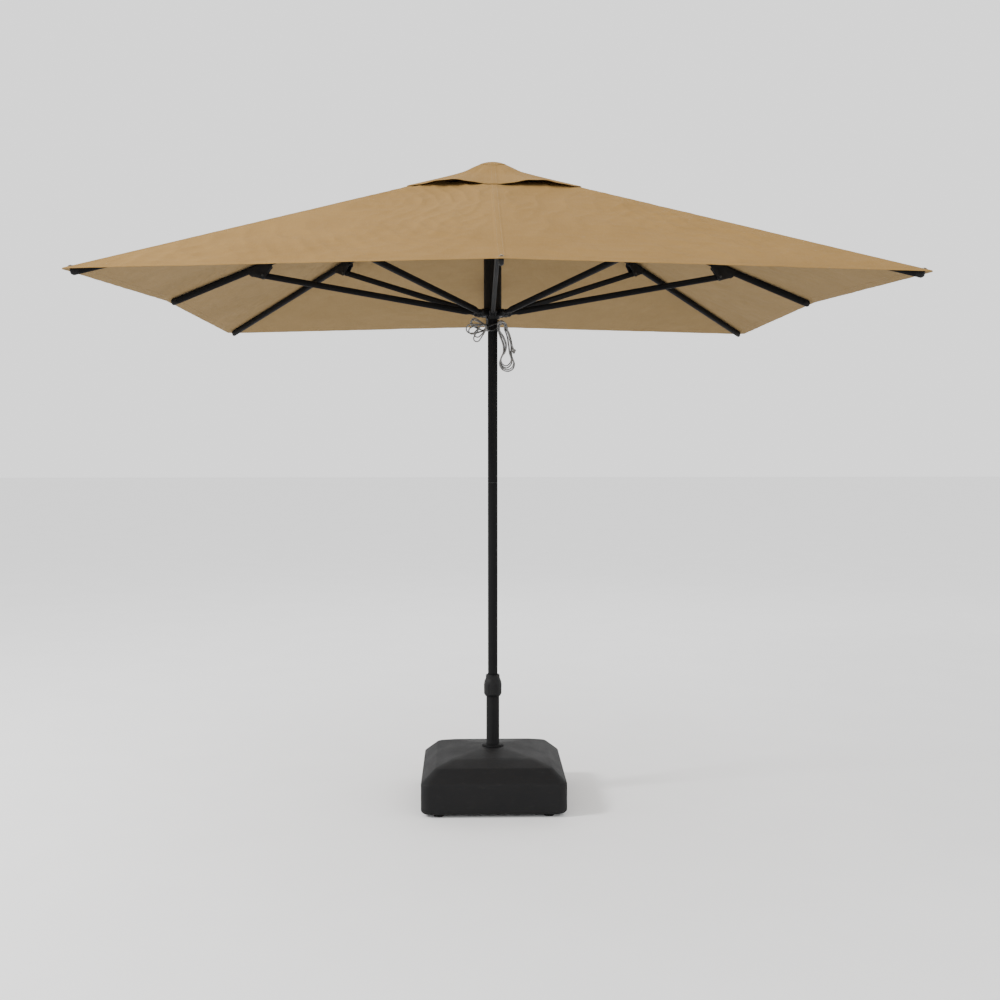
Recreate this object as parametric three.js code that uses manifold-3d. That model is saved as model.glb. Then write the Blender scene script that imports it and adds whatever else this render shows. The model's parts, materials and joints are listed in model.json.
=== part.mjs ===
// A square centre-pole patio umbrella on a weighted base: a pulley-lift frame of eight ribs under a tan
// canopy with a wind vent. Millimetres, +Z up. The origin is on the pole's axis, at the floor.
// The front of the umbrella is at -Y and its right side is at +X.
import * as THREE from "three";
import { mergeVertices } from "three/addons/utils/BufferGeometryUtils.js";
import Module from "manifold-3d";

// ---------- driving dimensions ----------
const GAP = 0.3; // running gap between pieces that touch

// canopy
const CANOPY_HALF = 1250;
const APEX_Z = 2453;
const EDGE_MID_Z = 1938.5;
const CORNER_Z = 1906;
const FABRIC = 1.5;
const PANEL_SAG = 6;
const VENT_HALF = 180;
const CAP_HALF = 315;
const CAP_APEX_Z = 2468;
const CAP_LIFT = 4; // the vent cap's hem over the canopy at a rib
const CAP_ARCH = 25; // how far that hem stands up between two ribs

// pole and base
const POLE_R = 19;
const POLE_WALL = 1.5;
const POLE_BOTTOM_Z = 66.3;
const POLE_SPLIT_Z = 1240;
const POLE_TOP_Z = 2430;
const SOCKET_R = 25.5;
const SOCKET_WALL = 2;
const SOCKET_TOP_Z = 468;
const BASE_HALF = 275;
const BASE_CORNER_R = 38;
const BASE_SHELL_WALL = 4;
const BASE_BOTTOM_Z = 12;
const BASE_CHAMFER = 7; // round the shell's lower edge
const BASE_SHOULDER_Z = 124;
// The shell's sloped facets above its shoulder: [step inwards, loss of corner radius, height].
const BASE_FACETS = [[0, 0, 0], [54, 14, 48], [120, 20, 68]];
const BASE_CROWN_HALF = 50;
const BASE_CROWN_CORNER_R = 12;
const BASE_TOP_Z = 205;
const PLATE_THICK = 4;
const PLATE_RECESS = 0.5; // how far the base plate sits up inside the shell
const BALLAST_TOP_Z = 92;
const FOOT_R = 20;
const FOOT_PLACE_X = 207;
const FOOT_PLACE_Y = 239;
const SOCKET_FOOT_R = 60; // the plate welded under the socket tube
const SOCKET_FOOT_THICK = 5;
const FLANGE_R = 42.5;
const FLANGE_HEIGHT = 9;
const BUSH_DRAIN_R = 10;
const BUSH_FLOOR = 6;
const BUSH_LIP = 3;
const COLLAR_BOTTOM_Z = 403;
const COLLAR_TOP_Z = 488;
const COLLAR_GRIPS = 8;

// hub
const HUB_Z = 2418; // height of the rib pivots
const PIVOT_R = 46; // from the pole's axis to a rib pivot
const PIVOT_WIRE_R = 2.5;
const HUB_R = 56;
const HUB_LOW_Z = 2405;
const HUB_HIGH_Z = 2432;
const HUB_SLEEVE_R = 31;
const HUB_SLEEVE_Z = 2346;
const SHEAVE_Z = 2378;
const SHEAVE_GROOVE_R = 20.3;
const SHEAVE_GROOVE_HALF = 2.6;
const SHEAVE_FLANGE_R = 26;
const SHEAVE_WIDTH = 8;
const AXLE_R = 3;
const ROPE_SLOT_HALF = 5; // half the width of the rope's slots in the hub and the pole
const HUB_CAP_R = 44;

// ribs, brackets and struts
const RIB_COUNT = 8;
const RIB_WIDTH = 16;
const RIB_HEIGHT = 26;
const RIB_WALL = 1.5;
const TANG_WIDTH = 10; // the narrow eye that turns in the hub's slot
const TANG_EYE_R = 9;
const RIB_START = 17.5; // from the pivot to the wide bar, which passes the hub's lower edge as the rib folds
const FABRIC_CLEAR = 0.5;
const TIP_INSET_MID = 20; // from the canopy's edge to the rib's end, along the floor
const TIP_INSET_CORNER = 33;
const TIP_LENGTH = 22;
const BRACKET_ALONG_MID = 917;
const BRACKET_ALONG_CORNER = 890;
const BRACKET_DROP = 36; // from the rib's centre line down to the strut's pivot
const BRACKET_LENGTH = 92;
const BRACKET_WIDTH = 27;
const BRACKET_TOP_DROP = 6; // keeps the cheeks under the fabric, which falls away beside a corner rib
const STRUT_SLOT = 17.4;
const STRUT_WIDTH = 16;
const STRUT_HEIGHT = 23;
const STRUT_EYE_R = 11;
const STRUT_TIP_R = 8;
const PIN_R = 2.5;
const BAR_CORNER_R = 6;
const BAR_STEPS = 2; // steps in each rounded corner of a bar's section

// runner
const RUNNER_Z = 1894; // height of the struts' lower ends
const RUNNER_PIVOT_R = 68;
const RUNNER_BORE_R = 19.6;
const RUNNER_SLEEVE_R = 27.5;
const RUNNER_CORE_R = 36;
const RUNNER_EAR_R = 77;
const RUNNER_EAR_HALF = 13;
const RUNNER_EAR_GAP = 18;
const RUNNER_CHEEK = 4;
const RUNNER_LOW_Z = 1872;
const RUNNER_HIGH_Z = 1936; // top of the part that slides on the pole
const RUNNER_TUBE_Z = 2122; // top of the tube that stands on it round the pole and the rope
const RUNNER_TUBE_R = 34;
const RUNNER_TUBE_BORE_R = 28.5;

// lift rope
const ROPE_R = 2.2;
const ROPE_SIDES = 8;
const ROPE_FALL_R = 24; // from the pole's axis to each fall
const ROPE_AZIMUTH = Math.PI / 4;
const TAIL_TURN = 1.1 * Math.PI; // how far the tail goes round the pole
const TAIL_DROP = 31.2; // and how far it comes down in that turn
const BUNDLE_Y = 22; // the bow and the hank hang this far in front of the pole's axis

// ---------- colours ----------
const TAN = 0xb4966d;
const BLACK_METAL = 0x1c1c1d;
const BLACK_PLASTIC = 0x222222;
const STEEL = 0x8b8d90;
const ROPE_GREY = 0xcfcfca;

const wasm = await Module();
wasm.setup();

// ---------- solids ----------
function toManifold(geometry) {
  const plain = geometry.clone();
  plain.deleteAttribute("normal");
  plain.deleteAttribute("uv");
  const merged = mergeVertices(plain, 1e-4);
  return new wasm.Manifold(
    new wasm.Mesh({
      numProp: 3,
      vertProperties: new Float32Array(merged.attributes.position.array),
      triVerts: new Uint32Array(merged.index.array),
    }),
  );
}

function toGeometry(manifold) {
  const mesh = manifold.getMesh();
  const geometry = new THREE.BufferGeometry();
  geometry.setAttribute("position", new THREE.BufferAttribute(new Float32Array(mesh.vertProperties), 3));
  geometry.setIndex(new THREE.BufferAttribute(new Uint32Array(mesh.triVerts), 1));
  geometry.computeVertexNormals();
  return geometry;
}

// Joins `first` with every geometry in `more`, then cuts every geometry in `cuts` away.
function carve(first, more, cuts) {
  let result = toManifold(first);
  for (const geometry of more) {
    result = result.add(toManifold(geometry));
  }
  for (const geometry of cuts) {
    result = result.subtract(toManifold(geometry));
  }
  return toGeometry(result);
}

function box(x0, x1, y0, y1, z0, z1) {
  const geometry = new THREE.BoxGeometry(x1 - x0, y1 - y0, z1 - z0);
  return geometry.translate((x0 + x1) / 2, (y0 + y1) / 2, (z0 + z1) / 2);
}

// A cylinder along Z.
function post(radius, z0, z1, sides) {
  const geometry = new THREE.CylinderGeometry(radius, radius, z1 - z0, sides);
  return geometry.rotateX(Math.PI / 2).translate(0, 0, (z0 + z1) / 2);
}

// A cylinder along Y, centred on the origin.
function crossPin(radius, length, sides) {
  return new THREE.CylinderGeometry(radius, radius, length, sides);
}

// Turns an outline of [radius, z] pairs, listed anticlockwise, round the Z axis.
function turned(outline, sides) {
  const points = outline.map(([r, z]) => new THREE.Vector2(r, z));
  return new THREE.LatheGeometry(points, sides).rotateX(Math.PI / 2);
}

// A ring with a rectangular section, round the Z axis.
function ring(inner, outer, z0, z1, sides) {
  return turned([[inner, z0], [outer, z0], [outer, z1], [inner, z1], [inner, z0]], sides);
}

// A rounded rectangle, anticlockwise, as [a, b] pairs.
function roundedRectangle(width, height, radius, stepsPerCorner) {
  const points = [];
  const corners = [[1, 1], [-1, 1], [-1, -1], [1, -1]];
  corners.forEach(([sx, sy], index) => {
    for (let step = 0; step <= stepsPerCorner; step += 1) {
      const angle = (Math.PI / 2) * (index + step / stepsPerCorner);
      points.push([
        sx * (width / 2 - radius) + radius * Math.cos(angle),
        sy * (height / 2 - radius) + radius * Math.sin(angle),
      ]);
    }
  });
  return points;
}

// A closed solid through convex loops of equal length, each an array of Vector3.
function loft(loops) {
  const count = loops[0].length;
  const positions = [];
  const index = [];
  loops.forEach((loop) => loop.forEach((point) => positions.push(point.x, point.y, point.z)));
  for (let layer = 0; layer < loops.length - 1; layer += 1) {
    for (let i = 0; i < count; i += 1) {
      const a = layer * count + i;
      const b = layer * count + ((i + 1) % count);
      index.push(a, b, b + count, a, b + count, a + count);
    }
  }
  const last = (loops.length - 1) * count;
  for (let i = 1; i < count - 1; i += 1) {
    index.push(0, i + 1, i);
    index.push(last, last + i, last + i + 1);
  }
  const geometry = new THREE.BufferGeometry();
  geometry.setAttribute("position", new THREE.Float32BufferAttribute(positions, 3));
  geometry.setIndex(index);
  return geometry;
}

// A bar along +X with a rounded section; each stage is [x, width, height].
function barAlongX(stages, radius, stepsPerCorner) {
  const loops = stages.map(([x, width, height]) => {
    const corner = Math.min(radius, 0.49 * Math.min(width, height));
    const outline = roundedRectangle(width, height, corner, stepsPerCorner);
    return outline.map(([a, b]) => new THREE.Vector3(x, a, b));
  });
  return loft(loops);
}

// A side outline of [x, z] pairs, anticlockwise, given a thickness along Y and centred on it.
function sidePlate(outline, thickness) {
  const shape = new THREE.Shape(outline.map(([x, z]) => new THREE.Vector2(x, z)));
  const geometry = new THREE.ExtrudeGeometry(shape, { depth: thickness, bevelEnabled: false });
  return geometry.translate(0, 0, -thickness / 2).rotateX(Math.PI / 2);
}

// The arc of a circle as [a, b] pairs, ends included.
function arc(centreA, centreB, radius, from, to, steps) {
  return Array.from({ length: steps + 1 }, (_, step) => {
    const angle = from + ((to - from) * step) / steps;
    return [centreA + radius * Math.cos(angle), centreB + radius * Math.sin(angle)];
  });
}

// The side outline of a bar's end that is round about the origin and runs on to x = `reach`.
function eyeOutline(radius, reach) {
  return [[reach, radius], ...arc(0, 0, radius, Math.PI / 2, (3 * Math.PI) / 2, 6), [reach, -radius]];
}

// ---------- the assembly ----------
const umbrella = new THREE.Group();

function piece(name, geometry, color, roughness, metalness, parent = umbrella) {
  const material = new THREE.MeshStandardMaterial({ color, roughness, metalness });
  const mesh = new THREE.Mesh(geometry, material);
  mesh.name = name;
  parent.add(mesh);
  return mesh;
}

// ---------- base ----------
// A stack of rounded squares; each layer is [half side, corner radius, z].
function squareStack(layers) {
  return loft(
    layers.map(([half, radius, z]) =>
      roundedRectangle(2 * half, 2 * half, radius, 4).map(([x, y]) => new THREE.Vector3(x, y, z)),
    ),
  );
}

// The layers of the base from its shoulder up, or of its inside when `inset` is the wall's thickness.
function baseLayers(inset) {
  const facets = BASE_FACETS.map(([inwards, sharper, rise]) => [
    BASE_HALF - inwards - inset,
    BASE_CORNER_R - sharper - inset,
    BASE_SHOULDER_Z + rise - (rise > 0 ? inset : inset / 2),
  ]);
  return [...facets, [BASE_CROWN_HALF, BASE_CROWN_CORNER_R, BASE_TOP_Z - inset]];
}

function makeBase() {
  const outer = squareStack([
    [BASE_HALF - BASE_CHAMFER, BASE_CORNER_R - BASE_CHAMFER, BASE_BOTTOM_Z],
    [BASE_HALF, BASE_CORNER_R, BASE_BOTTOM_Z + BASE_CHAMFER],
    ...baseLayers(0),
  ]);
  const wall = BASE_SHELL_WALL;
  const openingInset = BASE_CHAMFER + wall;
  const inner = squareStack([
    [BASE_HALF - openingInset, BASE_CORNER_R - openingInset, BASE_BOTTOM_Z - 1],
    [BASE_HALF - openingInset, BASE_CORNER_R - openingInset, BASE_BOTTOM_Z + BASE_CHAMFER - 1],
    ...baseLayers(wall + 3),
  ]);
  const tubeHole = post(SOCKET_R + GAP, BASE_SHOULDER_Z, BASE_TOP_Z + 10, 32);
  piece("base_shell", carve(outer, [], [inner, tubeHole]), BLACK_PLASTIC, 0.75, 0);

  const plateTop = BASE_BOTTOM_Z + PLATE_THICK;
  const plateInset = openingInset + GAP + 0.2;
  const plate = squareStack([
    [BASE_HALF - plateInset, BASE_CORNER_R - plateInset, BASE_BOTTOM_Z + PLATE_RECESS],
    [BASE_HALF - plateInset, BASE_CORNER_R - plateInset, plateTop],
  ]);
  piece("base_plate", plate, BLACK_PLASTIC, 0.8, 0);

  const fillInset = plateInset + GAP;
  const fill = squareStack([
    [BASE_HALF - fillInset, BASE_CORNER_R - fillInset, plateTop + GAP],
    [BASE_HALF - fillInset, BASE_CORNER_R - fillInset, BALLAST_TOP_Z],
  ]);
  const well = post(SOCKET_R + 1, plateTop, BASE_SHOULDER_Z + 40, 32);
  const anchorWell = post(SOCKET_FOOT_R + 1, plateTop, plateTop + SOCKET_FOOT_THICK + 1.5, 32);
  piece("ballast_block", carve(fill, [], [well, anchorWell]), 0x6f6c66, 0.95, 0);

  const feet = { front_left: [-1, -1], front_right: [1, -1], back_left: [-1, 1], back_right: [1, 1] };
  const footTop = BASE_BOTTOM_Z + PLATE_RECESS - GAP;
  for (const [corner, [sx, sy]] of Object.entries(feet)) {
    const foot = turned([[0, 0], [FOOT_R - 3, 0], [FOOT_R, 3], [FOOT_R, footTop], [0, footTop]], 20);
    foot.translate(sx * FOOT_PLACE_X, sy * FOOT_PLACE_Y, 0);
    piece(`foot_${corner}`, foot, 0x151515, 0.9, 0);
  }
}

function makeSocket() {
  const bottom = BASE_BOTTOM_Z + PLATE_THICK + 2 * GAP;
  const floor = bottom + SOCKET_FOOT_THICK;
  const inner = SOCKET_R - SOCKET_WALL;
  const tube = turned(
    [[0, bottom], [SOCKET_FOOT_R, bottom], [SOCKET_FOOT_R, floor], [SOCKET_R, floor],
      [SOCKET_R, SOCKET_TOP_Z], [inner, SOCKET_TOP_Z], [inner, floor], [0, floor]],
    32,
  );
  piece("socket_tube", tube, BLACK_METAL, 0.45, 0.7);

  const flangeLow = BASE_TOP_Z + GAP;
  const flangeHigh = BASE_TOP_Z + FLANGE_HEIGHT;
  const flange = turned(
    [[SOCKET_R + GAP, flangeLow], [FLANGE_R, flangeLow], [FLANGE_R, flangeHigh - 5],
      [FLANGE_R - 4.5, flangeHigh - 1], [SOCKET_R + 4, flangeHigh], [SOCKET_R + GAP, flangeHigh],
      [SOCKET_R + GAP, flangeLow]],
    32,
  );
  piece("tube_flange", flange, BLACK_METAL, 0.5, 0.6);

  const bushOuter = inner - GAP;
  const bushInner = POLE_R + GAP;
  const bushFloor = POLE_BOTTOM_Z - GAP;
  const bushLow = bushFloor - BUSH_FLOOR;
  const lipLow = SOCKET_TOP_Z + GAP;
  const lipHigh = lipLow + BUSH_LIP;
  const bush = turned(
    [[BUSH_DRAIN_R, bushLow], [bushOuter, bushLow], [bushOuter, lipLow], [SOCKET_R, lipLow],
      [SOCKET_R, lipHigh], [bushInner, lipHigh], [bushInner, bushFloor], [BUSH_DRAIN_R, bushFloor],
      [BUSH_DRAIN_R, bushLow]],
    32,
  );
  piece("reducer_bush", bush, BLACK_PLASTIC, 0.6, 0);

  const z0 = COLLAR_BOTTOM_Z;
  const z1 = COLLAR_TOP_Z;
  const seat = lipHigh + 0.7;
  const collar = turned(
    [[SOCKET_R + 0.4, z0], [29, z0], [34.5, z0 + 9], [35, z0 + 46], [33, z0 + 58], [28, z0 + 70],
      [27, z1 - 2], [25, z1], [POLE_R + 0.6, z1], [POLE_R + 0.6, seat],
      [SOCKET_R + 0.4, seat], [SOCKET_R + 0.4, z0]],
    24,
  );
  const grips = Array.from({ length: COLLAR_GRIPS }, (_, index) => {
    const groove = post(5, z0 + 12, z0 + 44, 8);
    return groove.translate(38, 0, 0).rotateZ(((index + 0.5) * 2 * Math.PI) / COLLAR_GRIPS);
  });
  piece("twist_collar", carve(collar, [], grips), BLACK_PLASTIC, 0.5, 0);
}

// ---------- pole ----------
// The slot that the rope and its sheave run in, through the hub's sleeve and the pole, from a height upwards.
function ropeSlot(fromZ) {
  const slot = box(-40, 40, -ROPE_SLOT_HALF, ROPE_SLOT_HALF, fromZ, HUB_LOW_Z + 2);
  return slot.rotateZ(ROPE_AZIMUTH);
}

function axlePin(radius, length) {
  return crossPin(radius, length, 12).rotateZ(ROPE_AZIMUTH).translate(0, 0, SHEAVE_Z);
}

function makePole() {
  const inner = POLE_R - POLE_WALL;
  piece("lower_pole", ring(inner, POLE_R, POLE_BOTTOM_Z, POLE_SPLIT_Z, 32), BLACK_METAL, 0.4, 0.8);

  const joiner = ring(inner - 2, inner - GAP, POLE_SPLIT_Z - 80, POLE_SPLIT_Z + 80, 32);
  piece("pole_joiner", joiner, STEEL, 0.4, 0.8);

  const upper = ring(inner, POLE_R, POLE_SPLIT_Z + GAP, POLE_TOP_Z, 32);
  const slotted = carve(upper, [], [ropeSlot(HUB_SLEEVE_Z + 2), axlePin(AXLE_R + GAP, 80)]);
  piece("upper_pole", slotted, BLACK_METAL, 0.4, 0.8);
}

// ---------- hub ----------
function ribAzimuth(index) {
  return (index * 2 * Math.PI) / RIB_COUNT;
}

// The straight-sided wire ring that the ribs turn on: one flat side through each rib.
function pivotWire(radius) {
  const sideRadius = PIVOT_R / Math.cos(Math.PI / RIB_COUNT);
  const wire = new THREE.TorusGeometry(sideRadius, radius, 8, RIB_COUNT);
  return wire.rotateZ(Math.PI / RIB_COUNT).translate(0, 0, HUB_Z);
}

function makeHub() {
  const body = turned(
    [[POLE_R + GAP, HUB_SLEEVE_Z], [HUB_SLEEVE_R, HUB_SLEEVE_Z], [HUB_SLEEVE_R, HUB_LOW_Z],
      [HUB_R, HUB_LOW_Z], [HUB_R, HUB_HIGH_Z], [POLE_R + GAP, HUB_HIGH_Z], [POLE_R + GAP, HUB_SLEEVE_Z]],
    32,
  );
  const cuts = [pivotWire(PIVOT_WIRE_R + 0.4), ropeSlot(HUB_SLEEVE_Z - 1), axlePin(AXLE_R + GAP, 80)];
  const slotHalf = TANG_WIDTH / 2 + 0.5;
  for (let index = 0; index < RIB_COUNT; index += 1) {
    const slot = box(PIVOT_R - 11, HUB_R + 5, -slotHalf, slotHalf, HUB_LOW_Z - 1, HUB_HIGH_Z + 1);
    cuts.push(slot.rotateZ(ribAzimuth(index)));
  }
  piece("hub", carve(body, [], cuts), BLACK_PLASTIC, 0.55, 0);

  piece("hub_pivot_ring", pivotWire(PIVOT_WIRE_R), STEEL, 0.35, 0.9);

  const plugR = POLE_R - POLE_WALL - GAP;
  const capLow = HUB_HIGH_Z + GAP;
  const capTop = CAP_APEX_Z - 3.5;
  const cap = turned(
    [[0, HUB_LOW_Z + 5], [plugR, HUB_LOW_Z + 5], [plugR, capLow], [HUB_CAP_R, capLow],
      [HUB_CAP_R, HUB_HIGH_Z + 10], [12, capTop - 6.5], [0, capTop]],
    24,
  );
  piece("hub_cap", cap, BLACK_PLASTIC, 0.6, 0);

  const half = SHEAVE_WIDTH / 2;
  const bore = AXLE_R + GAP;
  const sheave = turned(
    [[bore, -half], [SHEAVE_FLANGE_R, -half], [SHEAVE_FLANGE_R, -half + 1],
      [SHEAVE_GROOVE_R, -SHEAVE_GROOVE_HALF], [SHEAVE_GROOVE_R, SHEAVE_GROOVE_HALF],
      [SHEAVE_FLANGE_R, half - 1], [SHEAVE_FLANGE_R, half], [bore, half], [bore, -half]],
    20,
  );
  sheave.rotateX(Math.PI / 2).rotateZ(ROPE_AZIMUTH).translate(0, 0, SHEAVE_Z);
  piece("lift_sheave", sheave, STEEL, 0.5, 0.3);
  piece("sheave_axle", axlePin(AXLE_R, 2 * HUB_SLEEVE_R - 1), STEEL, 0.35, 0.9);
}

// ---------- ribs, end caps, brackets and struts ----------
const SIDES = ["right", "back_right", "back", "back_left", "left", "front_left", "front", "front_right"];

// The size of one rib and its linkage, for a corner rib or for one at the middle of a side.
function ribPlan(isCorner) {
  const edgeR = isCorner ? CANOPY_HALF * Math.SQRT2 : CANOPY_HALF;
  const edgeZ = isCorner ? CORNER_Z : EDGE_MID_Z;
  const endR = edgeR - (isCorner ? TIP_INSET_CORNER : TIP_INSET_MID);
  const fabricSlope = Math.atan((APEX_Z - edgeZ) / edgeR);
  const under = (RIB_HEIGHT / 2 + FABRIC + FABRIC_CLEAR) / Math.cos(fabricSlope);
  const endZ = edgeZ + (edgeR - endR) * Math.tan(fabricSlope) - under;
  const slope = Math.atan((HUB_Z - endZ) / (endR - PIVOT_R));
  const length = Math.hypot(HUB_Z - endZ, endR - PIVOT_R);
  const along = isCorner ? BRACKET_ALONG_CORNER : BRACKET_ALONG_MID;
  const pivotR = PIVOT_R + along * Math.cos(slope) - BRACKET_DROP * Math.sin(slope);
  const pivotZ = HUB_Z - along * Math.sin(slope) - BRACKET_DROP * Math.cos(slope);
  const strutLength = Math.hypot(pivotR - RUNNER_PIVOT_R, pivotZ - RUNNER_Z);
  const strutSlope = Math.atan2(pivotZ - RUNNER_Z, pivotR - RUNNER_PIVOT_R);
  return { slope, length, along, strutLength, strutSlope };
}

// Everything on a rib is drawn with the rib's pivot at the origin and the rib along +X.
function ribGeometry(plan) {
  const barEnd = plan.length - TIP_LENGTH;
  const outer = barAlongX(
    [[RIB_START, RIB_WIDTH, RIB_HEIGHT], [barEnd, RIB_WIDTH, RIB_HEIGHT]],
    BAR_CORNER_R,
    BAR_STEPS,
  );
  const innerWidth = RIB_WIDTH - 2 * RIB_WALL;
  const innerHeight = RIB_HEIGHT - 2 * RIB_WALL;
  const inner = barAlongX(
    [[RIB_START + 26, innerWidth, innerHeight], [barEnd + 1, innerWidth, innerHeight]],
    BAR_CORNER_R - RIB_WALL,
    BAR_STEPS,
  );
  const tube = toGeometry(toManifold(outer).subtract(toManifold(inner)));
  const tang = sidePlate(eyeOutline(TANG_EYE_R, RIB_START + 5), TANG_WIDTH);
  return carve(tube, [tang], [crossPin(PIVOT_WIRE_R + 0.4, 30, 8)]);
}

function tipGeometry(plan) {
  const start = plan.length - TIP_LENGTH + GAP;
  const head = barAlongX(
    [[start, RIB_WIDTH, RIB_HEIGHT], [start + 13, RIB_WIDTH, RIB_HEIGHT],
      [start + 18, RIB_WIDTH - 3, RIB_HEIGHT - 4], [plan.length, RIB_WIDTH - 8, RIB_HEIGHT - 11]],
    BAR_CORNER_R,
    BAR_STEPS,
  );
  const plugWidth = RIB_WIDTH - 2 * RIB_WALL - 2 * GAP;
  const plugHeight = RIB_HEIGHT - 2 * RIB_WALL - 2 * GAP;
  const plug = barAlongX([[start - 25, plugWidth, plugHeight], [start + 2, plugWidth, plugHeight]], 4, 1);
  return carve(head, [plug], []);
}

// A saddle under the rib with two cheeks for the strut, and the strut's pin between them.
function bracketGeometry(plan) {
  const half = BRACKET_LENGTH / 2;
  const top = RIB_HEIGHT / 2 - BRACKET_TOP_DROP;
  const low = -BRACKET_DROP;
  const outline = [
    [half, top],
    [-half, top],
    ...arc(-half + 9, -16, 9, Math.PI, (3 * Math.PI) / 2, 3),
    ...arc(0, low, 14, (7 * Math.PI) / 6, (11 * Math.PI) / 6, 5),
    ...arc(half - 9, -16, 9, (3 * Math.PI) / 2, 2 * Math.PI, 3),
  ];
  const body = sidePlate(outline, BRACKET_WIDTH).translate(plan.along, 0, 0);
  const x0 = plan.along - half - 5;
  const x1 = plan.along + half + 5;
  const channelWidth = RIB_WIDTH + 2 * GAP;
  const channelHeight = RIB_HEIGHT + 2 * GAP;
  const channel = barAlongX(
    [[x0, channelWidth, channelHeight], [x1, channelWidth, channelHeight]],
    BAR_CORNER_R,
    BAR_STEPS,
  );
  const open = box(x0, x1, -channelWidth / 2, channelWidth / 2, 0, 30);
  const slot = box(x0, x1, -STRUT_SLOT / 2, STRUT_SLOT / 2, low - 30, -RIB_HEIGHT / 2 - 4);
  const pin = crossPin(PIN_R, BRACKET_WIDTH + 3, 8).translate(plan.along, 0, low);
  return toGeometry(toManifold(carve(body, [], [channel, open, slot])).add(toManifold(pin)));
}

// A strut is drawn with its bracket pivot at the origin and its lower end along +X.
function strutGeometry(plan) {
  const end = plan.strutLength;
  const bar = barAlongX(
    [[16, STRUT_WIDTH, STRUT_HEIGHT], [end - 34, STRUT_WIDTH, STRUT_HEIGHT],
      [end - 20, STRUT_WIDTH, 2 * STRUT_TIP_R], [end, STRUT_WIDTH, 2 * STRUT_TIP_R]],
    5,
    BAR_STEPS,
  );
  const eye = sidePlate(eyeOutline(STRUT_EYE_R, 22), STRUT_WIDTH);
  const tip = crossPin(STRUT_TIP_R, STRUT_WIDTH, 12).translate(end, 0, 0);
  const hollowWidth = STRUT_WIDTH - 2 * RIB_WALL;
  const hollowHeight = STRUT_HEIGHT - 2 * RIB_WALL;
  const hollow = barAlongX([[40, hollowWidth, hollowHeight], [end - 45, hollowWidth, hollowHeight]], 3.5, 1);
  const drain = box(60, 66, -2, 2, 0, STRUT_HEIGHT);
  const pinHoles = [0, end].map((x) => crossPin(PIN_R + GAP, 40, 8).translate(x, 0, 0));
  return carve(bar, [eye, tip], [hollow, drain, ...pinHoles]);
}

function makeRibs() {
  const plans = [ribPlan(false), ribPlan(true)];
  for (let index = 0; index < RIB_COUNT; index += 1) {
    const plan = plans[index % 2];
    const side = SIDES[index];
    const azimuth = ribAzimuth(index);
    const ribGroup = new THREE.Group();
    ribGroup.position.set(PIVOT_R * Math.cos(azimuth), PIVOT_R * Math.sin(azimuth), HUB_Z);
    ribGroup.rotation.set(0, plan.slope, azimuth, "ZYX");
    umbrella.add(ribGroup);
    piece(`rib_${side}`, ribGeometry(plan), BLACK_METAL, 0.4, 0.8, ribGroup);
    piece(`rib_tip_${side}`, tipGeometry(plan), BLACK_PLASTIC, 0.5, 0, ribGroup);
    piece(`bracket_${side}`, bracketGeometry(plan), BLACK_PLASTIC, 0.55, 0, ribGroup);

    const strutGroup = new THREE.Group();
    strutGroup.position.set(plan.along, 0, -BRACKET_DROP);
    strutGroup.rotation.set(0, Math.PI - plan.strutSlope - plan.slope, 0);
    ribGroup.add(strutGroup);
    piece(`strut_${side}`, strutGeometry(plan), BLACK_METAL, 0.4, 0.8, strutGroup);
  }
}

// ---------- runner ----------
function makeRunner() {
  const low = RUNNER_Z - RUNNER_EAR_HALF;
  const high = RUNNER_Z + RUNNER_EAR_HALF;
  const sleeve = turned(
    [[RUNNER_BORE_R, RUNNER_LOW_Z], [RUNNER_SLEEVE_R, RUNNER_LOW_Z], [RUNNER_SLEEVE_R, low],
      [RUNNER_CORE_R, low], [RUNNER_CORE_R, high], [RUNNER_TUBE_R, high + 4],
      [RUNNER_TUBE_R, RUNNER_TUBE_Z], [RUNNER_TUBE_BORE_R, RUNNER_TUBE_Z],
      [RUNNER_TUBE_BORE_R, RUNNER_HIGH_Z], [RUNNER_BORE_R, RUNNER_HIGH_Z],
      [RUNNER_BORE_R, RUNNER_LOW_Z]],
    32,
  );
  const cheeks = [];
  for (let index = 0; index < RIB_COUNT; index += 1) {
    for (const side of [-1, 1]) {
      const near = (side * RUNNER_EAR_GAP) / 2;
      const far = near + side * RUNNER_CHEEK;
      const outline = [
        [30, RUNNER_EAR_HALF],
        [30, -RUNNER_EAR_HALF],
        [RUNNER_EAR_R - 10, -RUNNER_EAR_HALF],
        ...arc(RUNNER_EAR_R - 10, 0, 10, -Math.PI / 3, Math.PI / 3, 2),
        [RUNNER_EAR_R - 10, RUNNER_EAR_HALF],
      ];
      const cheek = sidePlate(outline, RUNNER_CHEEK).translate(0, (near + far) / 2, RUNNER_Z);
      cheeks.push(cheek.rotateZ(ribAzimuth(index)));
    }
  }
  const cuts = [0, Math.PI].map((turn) => {
    const channel = box(RUNNER_BORE_R + 1.6, RUNNER_TUBE_BORE_R, -3, 3, RUNNER_LOW_Z - 1, RUNNER_HIGH_Z + 1);
    return channel.rotateZ(ROPE_AZIMUTH + turn);
  });
  piece("runner", carve(sleeve, cheeks, cuts), BLACK_PLASTIC, 0.55, 0);
}

// ---------- canopy and vent cap ----------
// The height of the canopy's top face at a point on its outline, where `along` runs from 0 at the middle
// of a side to 1 at a corner.
function hemHeight(along) {
  return EDGE_MID_Z + (CORNER_Z - EDGE_MID_Z) * along;
}

// A point of the canopy's top face: `out` runs from 0 at the axis to 1 at the hem.
function canopyHeight(out, along) {
  const sag = PANEL_SAG * Math.sin(Math.PI * along) * Math.sin(Math.PI * Math.min(1, out));
  return APEX_Z + out * (hemHeight(along) - APEX_Z) - sag;
}

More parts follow.
